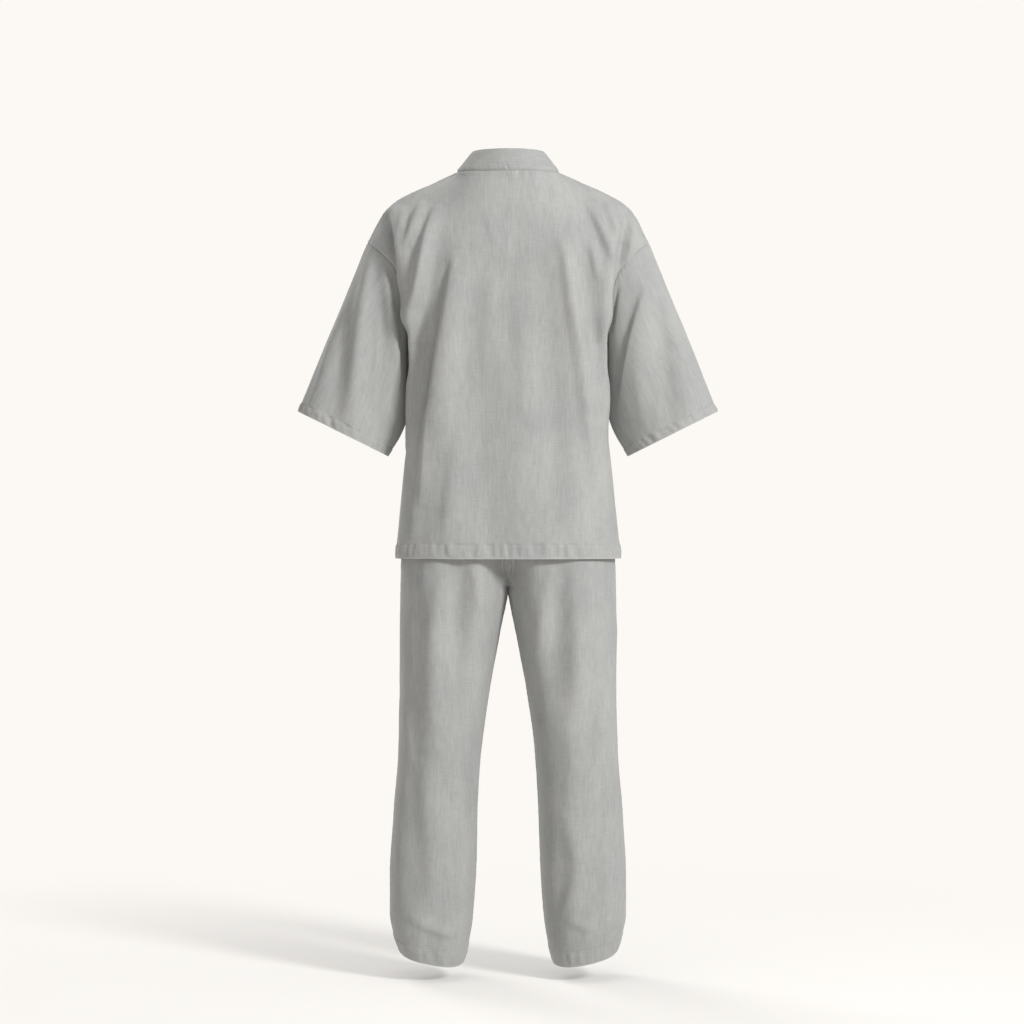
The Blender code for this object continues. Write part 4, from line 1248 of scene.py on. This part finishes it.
def tape(name, aside, drop, lift, layer):
    """A tape through stations beside and below the knot, moved out from the front by lift."""
    knots = np.linspace(0, 1, len(aside))
    count = len(aside) * 8
    at = np.linspace(0, 1, count)
    columns = [spline(knots, values, at) for values in (aside, drop, lift, layer)]
    spots = zip(TIE_X + columns[0], TIE_Z - columns[1], columns[2], columns[3])
    centres, outs = (np.array(a) for a in zip(*(front_surface(*spot) for spot in spots)))
    run = centres[1] - centres[0]
    side = np.cross(outs[0], run - outs[0] * (run @ outs[0]))
    side *= TAPE_WIDTH / 2 / np.linalg.norm(side)
    share = np.linspace(-1, 1, 13)[:, None]
    grid = centres[:, None] + side * share
    piece = cut(name, grid, heart_x=TIE_X)
    piece["flat"] = np.stack([piece["over"], piece["up"]], -1)
    piece["relief"] += 0.0003 * (1 - share[:, 0] ** 2) - 0.0002 * bell(1 - np.abs(share[:, 0]), 0.16)
    return piece


def bow():
    """Both tapes of the tie, the two loops and the two hanging ends round the knot."""
    pieces = [tape("tie_left", **TIE_LEFT), tape("tie_right", **TIE_RIGHT)]
    flat = np.zeros(len(LOOP["share"]))
    share = np.linspace(0, 1, 6)
    aside, drop = (read(TIE_END, "share", name, share) for name in ("aside", "drop"))
    for word, way in (("inner", 1), ("outer", -1)):
        reach = LOOP_START + LOOP_REACH * LOOP["share"]
        fall = LOOP_DROP * LOOP["share"] ** 1.3
        pieces.append(tape("bow_loop_" + word, way * reach, fall, LOOP["lift"], flat))
        lift = np.full(len(share), TIE_END_LIFT)
        pieces.append(tape("tie_end_" + word, way * aside, drop, lift, 0 * share))
    return pieces


def knot(material):
    """The knot: a squared lump whose wraps show as slanting grooves."""
    place, out = front_surface(TIE_X, TIE_Z, KNOT_LIFT, 0)
    bpy.ops.object.select_all(action="DESELECT")
    bpy.ops.mesh.primitive_uv_sphere_add(segments=48, ring_count=32, radius=1.0)
    obj = bpy.context.object
    obj.name = "tie_knot_cloth"
    corners = np.array([v.co for v in obj.data.vertices])
    square = power(corners, 0.72)
    square /= np.abs(square).max(axis=0)
    wraps = 0.07 * np.abs(np.sin(7.0 * corners[:, 0] + 2.2 * corners[:, 2])) ** 0.5
    pinch = 0.16 * bell(corners[:, 2], 0.35) * (1 - np.abs(corners[:, 1]))
    shaped = square * (0.93 + wraps - pinch)[:, None] * np.array(KNOT) / 2
    turn = math.atan2(out[0], -out[1])
    x = shaped[:, 0] * math.cos(turn) - shaped[:, 1] * math.sin(turn)
    y = shaped[:, 0] * math.sin(turn) + shaped[:, 1] * math.cos(turn)
    moved = np.stack([x, y, shaped[:, 2]], -1) + place
    obj.data.vertices.foreach_set("co", moved.ravel())
    layer = obj.data.uv_layers[0]
    layer.name = "cut"
    flat = np.empty(len(obj.data.loops) * 2)
    layer.data.foreach_get("uv", flat)
    layer.data.foreach_set("uv", flat * 0.05)
    obj.data.update()
    obj.data.shade_smooth()
    obj.data.materials.append(material)
    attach(obj, "root")
    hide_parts("tie_knot")
    return obj


# The set

cloth_look = chambray("grey_chambray", (0.273, 0.274, 0.264, 1.0), (0.438, 0.440, 0.428, 1.0))
band_look = chambray("band_chambray", (0.268, 0.269, 0.259, 1.0), (0.428, 0.430, 0.418, 1.0))
tape_look = chambray("tape_chambray", (0.265, 0.265, 0.252, 1.0), (0.425, 0.425, 0.407, 1.0))
thread_look = sewing_thread()
STITCH_SHAPE = one_stitch()


def make_top():
    """The seven pieces of the top, with the same normals where they meet."""
    back, over, under = back_panel(), front_panel(0), front_panel(1)
    tube = sleeve()
    left_tube = folded_sleeve(tube, LEFT_SLEEVE_FOLDS)
    right_tube = folded_sleeve(mirrored(tube), RIGHT_SLEEVE_FOLDS)
    pieces = [
        cut("back_left", folded(back, BACK_FOLDS, True)),
        cut("back_right", folded(mirrored(back), BACK_FOLDS, True)),
        cut("front_left", folded(over, FRONT_FOLDS), 0.14),
        cut("front_right", folded(mirrored(under), FRONT_FOLDS), -0.14),
        cut("sleeve_left", left_tube, heart_x=0.29, ring=True),
        cut("sleeve_right", right_tube, heart_x=-0.29, ring=True),
        cut("collar", collar()),
    ]
    pieces[-1]["flat"] = np.stack([pieces[-1]["over"], pieces[-1]["up"]], -1)
    sew(pieces)
    return pieces


def columns_away(piece, x_side):
    """Distances from the outer border, where |x| is larger, or the inner one, and its column's name."""
    over = piece["over"]
    first_is_outer = np.abs(piece["grid"][:, 0, 0]).mean() > np.abs(piece["grid"][:, -1, 0]).mean()
    from_first, from_last = over, over[:, -1:] - over
    if x_side == "outer":
        return (from_first, "first_column") if first_is_outer else (from_last, "last_column")
    return (from_last, "last_column") if first_is_outer else (from_first, "first_column")


def dress_top():
    """Hems, seams, creases and stitches of the top."""
    pieces = make_top()
    for number, piece in enumerate(pieces):
        name, seed = piece["name"], 10.0 + number
        up = piece["up"]
        down = up[-1:] - up
        if name.startswith(("back", "front")):
            outer, outer_edge = columns_away(piece, "outer")
            inner, inner_edge = columns_away(piece, "inner")
            behind = name.startswith("back")
            hem(piece, up, piece["flat"][..., 0], TOP_HEM, 10.0, 0.0)
            seam(piece, down, piece["over"], seed, COLLAR_GROOVE if behind else SEAM_GROOVE)
            seam(piece, outer, up, seed)
            seam(piece, inner, up, seed, CENTRE_GROOVE if behind else COLLAR_GROOVE)
            felled(piece, outer, smooth((up / up[-1:] - ARMHOLE_FROM) / 0.01))
            creases = BACK_CREASES if behind else FRONT_CREASES
            formed_top(piece, creases, outer)
            lines = [
                ("first_row", TOP_HEM, 0.0, 1.0),
                (outer_edge, FELL[0], ARMHOLE_FROM, 1.0),
                (outer_edge, FELL[1], ARMHOLE_FROM, 1.0),
                (outer_edge, 0.0060, 0.0, 0.06),
            ]
            if not behind:
                lines.append((inner_edge, FELL[0], 0.0, 1.0))
            cloth, look, slot_name = CLOTH, cloth_look, "chambray"
        elif name.startswith("sleeve"):
            seam(piece, up, piece["over"], seed)
            hem(piece, down, piece["over"], SLEEVE_HEM, seed, 0.5)
            creases = LEFT_SLEEVE_CREASES if name == "sleeve_left" else RIGHT_SLEEVE_CREASES
            outwards = np.clip((piece["grid"][..., 1] - SLEEVE_HEM_Y) / SLEEVE_FOLD_DEPTH, -1, 1)
            piece["relief"] += crease_lift(piece["grid"], creases) * smooth(up / 0.03) * np.abs(outwards)
            formed(piece, NO_CREASES)
            lines = [("last_row", SLEEVE_HEM, 0.0, 1.0)]
            cloth, look, slot_name = CLOTH, cloth_look, "chambray"
        else:
            from_first, from_last = piece["over"], piece["over"][:, -1:] - piece["over"]
            edges = np.minimum(from_first, from_last)
            nape = piece["grid"][len(piece["grid"]) // 2]
            seam(piece, from_first if nape[0, 2] < nape[-1, 2] else from_last, up, seed, COLLAR_GROOVE)
            piece["relief"] += 0.0006 * smooth(edges / 0.006) - 0.0004 * bell(edges - 0.0022, 0.0012)
            formed(piece, NO_CREASES)
            lines = [("first_column", 0.0022, 0.0, 1.0), ("last_column", 0.0022, 0.0, 1.0)]
            cloth, look, slot_name = BAND_CLOTH, band_look, "band"
        obj = draped(piece, cloth, 0.7 * number, look)
        stitches = stitched(piece, cloth, lines, thread_look)
        declare(piece, [stitches])


def formed_top(piece, creases, outer):
    """Creases of a body panel. The back also swells beside the body, clear of the sleeve."""
    relief = crease_lift(piece["grid"], creases) * smooth((outer + 0.001) / 0.008)
    x, y, z = (np.abs(piece["grid"][..., k]) for k in range(3))
    if creases is BACK_CREASES:
        beside = smooth((x - 0.165) / 0.02) * bell(y - BULGE_Y, BULGE_REACH)
        relief += SIDE_BULGE * beside * window(z, *BULGE_SPAN)
        by_sleeve = smooth((x - 0.176) / 0.010) * smooth((0.080 - y) / 0.018)
        relief *= 1 - SLEEVE_HOLD * by_sleeve * window(z, *HOLD_SPAN)
    piece["relief"] += relief
    formed(piece, NO_CREASES)


def dress_trousers():
    """The legs and the waistband, with their hems, seams, creases and stitches."""
    seat, lap = trouser_panel(1), trouser_panel(-1)
    leg_x = 0.14
    pieces = [
        cut("trouser_back_left", folded(seat, LEFT_TROUSER_FOLDS), leg_x, leg_x),
        cut("trouser_back_right", folded(mirrored(seat), RIGHT_TROUSER_FOLDS), -leg_x, -leg_x),
        cut("trouser_front_left", folded(lap, LEFT_TROUSER_FOLDS), leg_x, leg_x),
        cut("trouser_front_right", folded(mirrored(lap), RIGHT_TROUSER_FOLDS), -leg_x, -leg_x),
        cut("waistband", waistband(seat, lap), ring=True),
    ]
    sew(pieces)
    for number, piece in enumerate(pieces):
        name, seed, up = piece["name"], 30.0 + number, piece["up"]
        down = up[-1:] - up
        z = piece["grid"][..., 2]
        if name == "waistband":
            gathers = waves(piece["over"], up, 0.009, 3.0)
            piece["relief"] += 0.0012 * gathers * np.sin(math.pi * up / up[-1:]) ** 0.5
            formed(piece, NO_CREASES, calm=0.0)
            lines = [("first_row", 0.003, 0.0, 1.0), ("first_row", 0.018, 0.0, 1.0)]
            lines.append(("last_row", 0.003, 0.0, 1.0))
            cloth, look, slot_name = BAND_CLOTH, band_look, "band"
        else:
            outer, outer_edge = columns_away(piece, "outer")
            inner, inner_edge = columns_away(piece, "inner")
            hem(piece, up, piece["over"], TROUSER_HEM, seed, 0.2, 0.6)
            seam(piece, outer, up, seed)
            seam(piece, inner, up, seed)
            felled(piece, inner)
            cleft = CLEFT * bell(piece["grid"][..., 0], CLEFT_REACH)
            piece["relief"] -= cleft * window(z, *CLEFT_SPAN)
            gathers = waves(piece["over"], up, 0.014, seed)
            piece["relief"] += 0.0010 * gathers * bell(down, 0.05) * smooth(down / 0.004)
            creases = LEFT_TROUSER_CREASES if name.endswith("left") else RIGHT_TROUSER_CREASES
            formed(piece, creases, fade_side=0.014, calm=1 - smooth((z + 0.78) / 0.05))
            lines = [
                ("first_row", TROUSER_HEM, 0.0, 1.0),
                (inner_edge, FELL[0], 0.0, 1.0),
                (inner_edge, FELL[1], 0.0, 1.0),
            ]
            cloth, look, slot_name = CLOTH, cloth_look, "chambray"
        obj = draped(piece, cloth, 0.7 * number + 0.31, look)
        stitches = stitched(piece, cloth, lines, thread_look)
        declare(piece, [stitches])


def dress_bow():
    """The tapes and the knot of the bow, with their stitches."""
    lump = knot(tape_look)
    for number, piece in enumerate(bow()):
        piece["formed"] = piece["grid"] + piece["normal"] * piece["relief"][..., None]
        lines = [("first_column", 0.0014, 0.0, 1.0), ("last_column", 0.0014, 0.0, 1.0)]
        obj = draped(piece, TAPE_CLOTH, 0.13 * number, tape_look)
        stitches = stitched(piece, TAPE_CLOTH, lines, thread_look)
        declare(piece, [stitches, lump] if number == 0 else [stitches])


dress_top()
dress_trousers()
dress_bow()
studio()
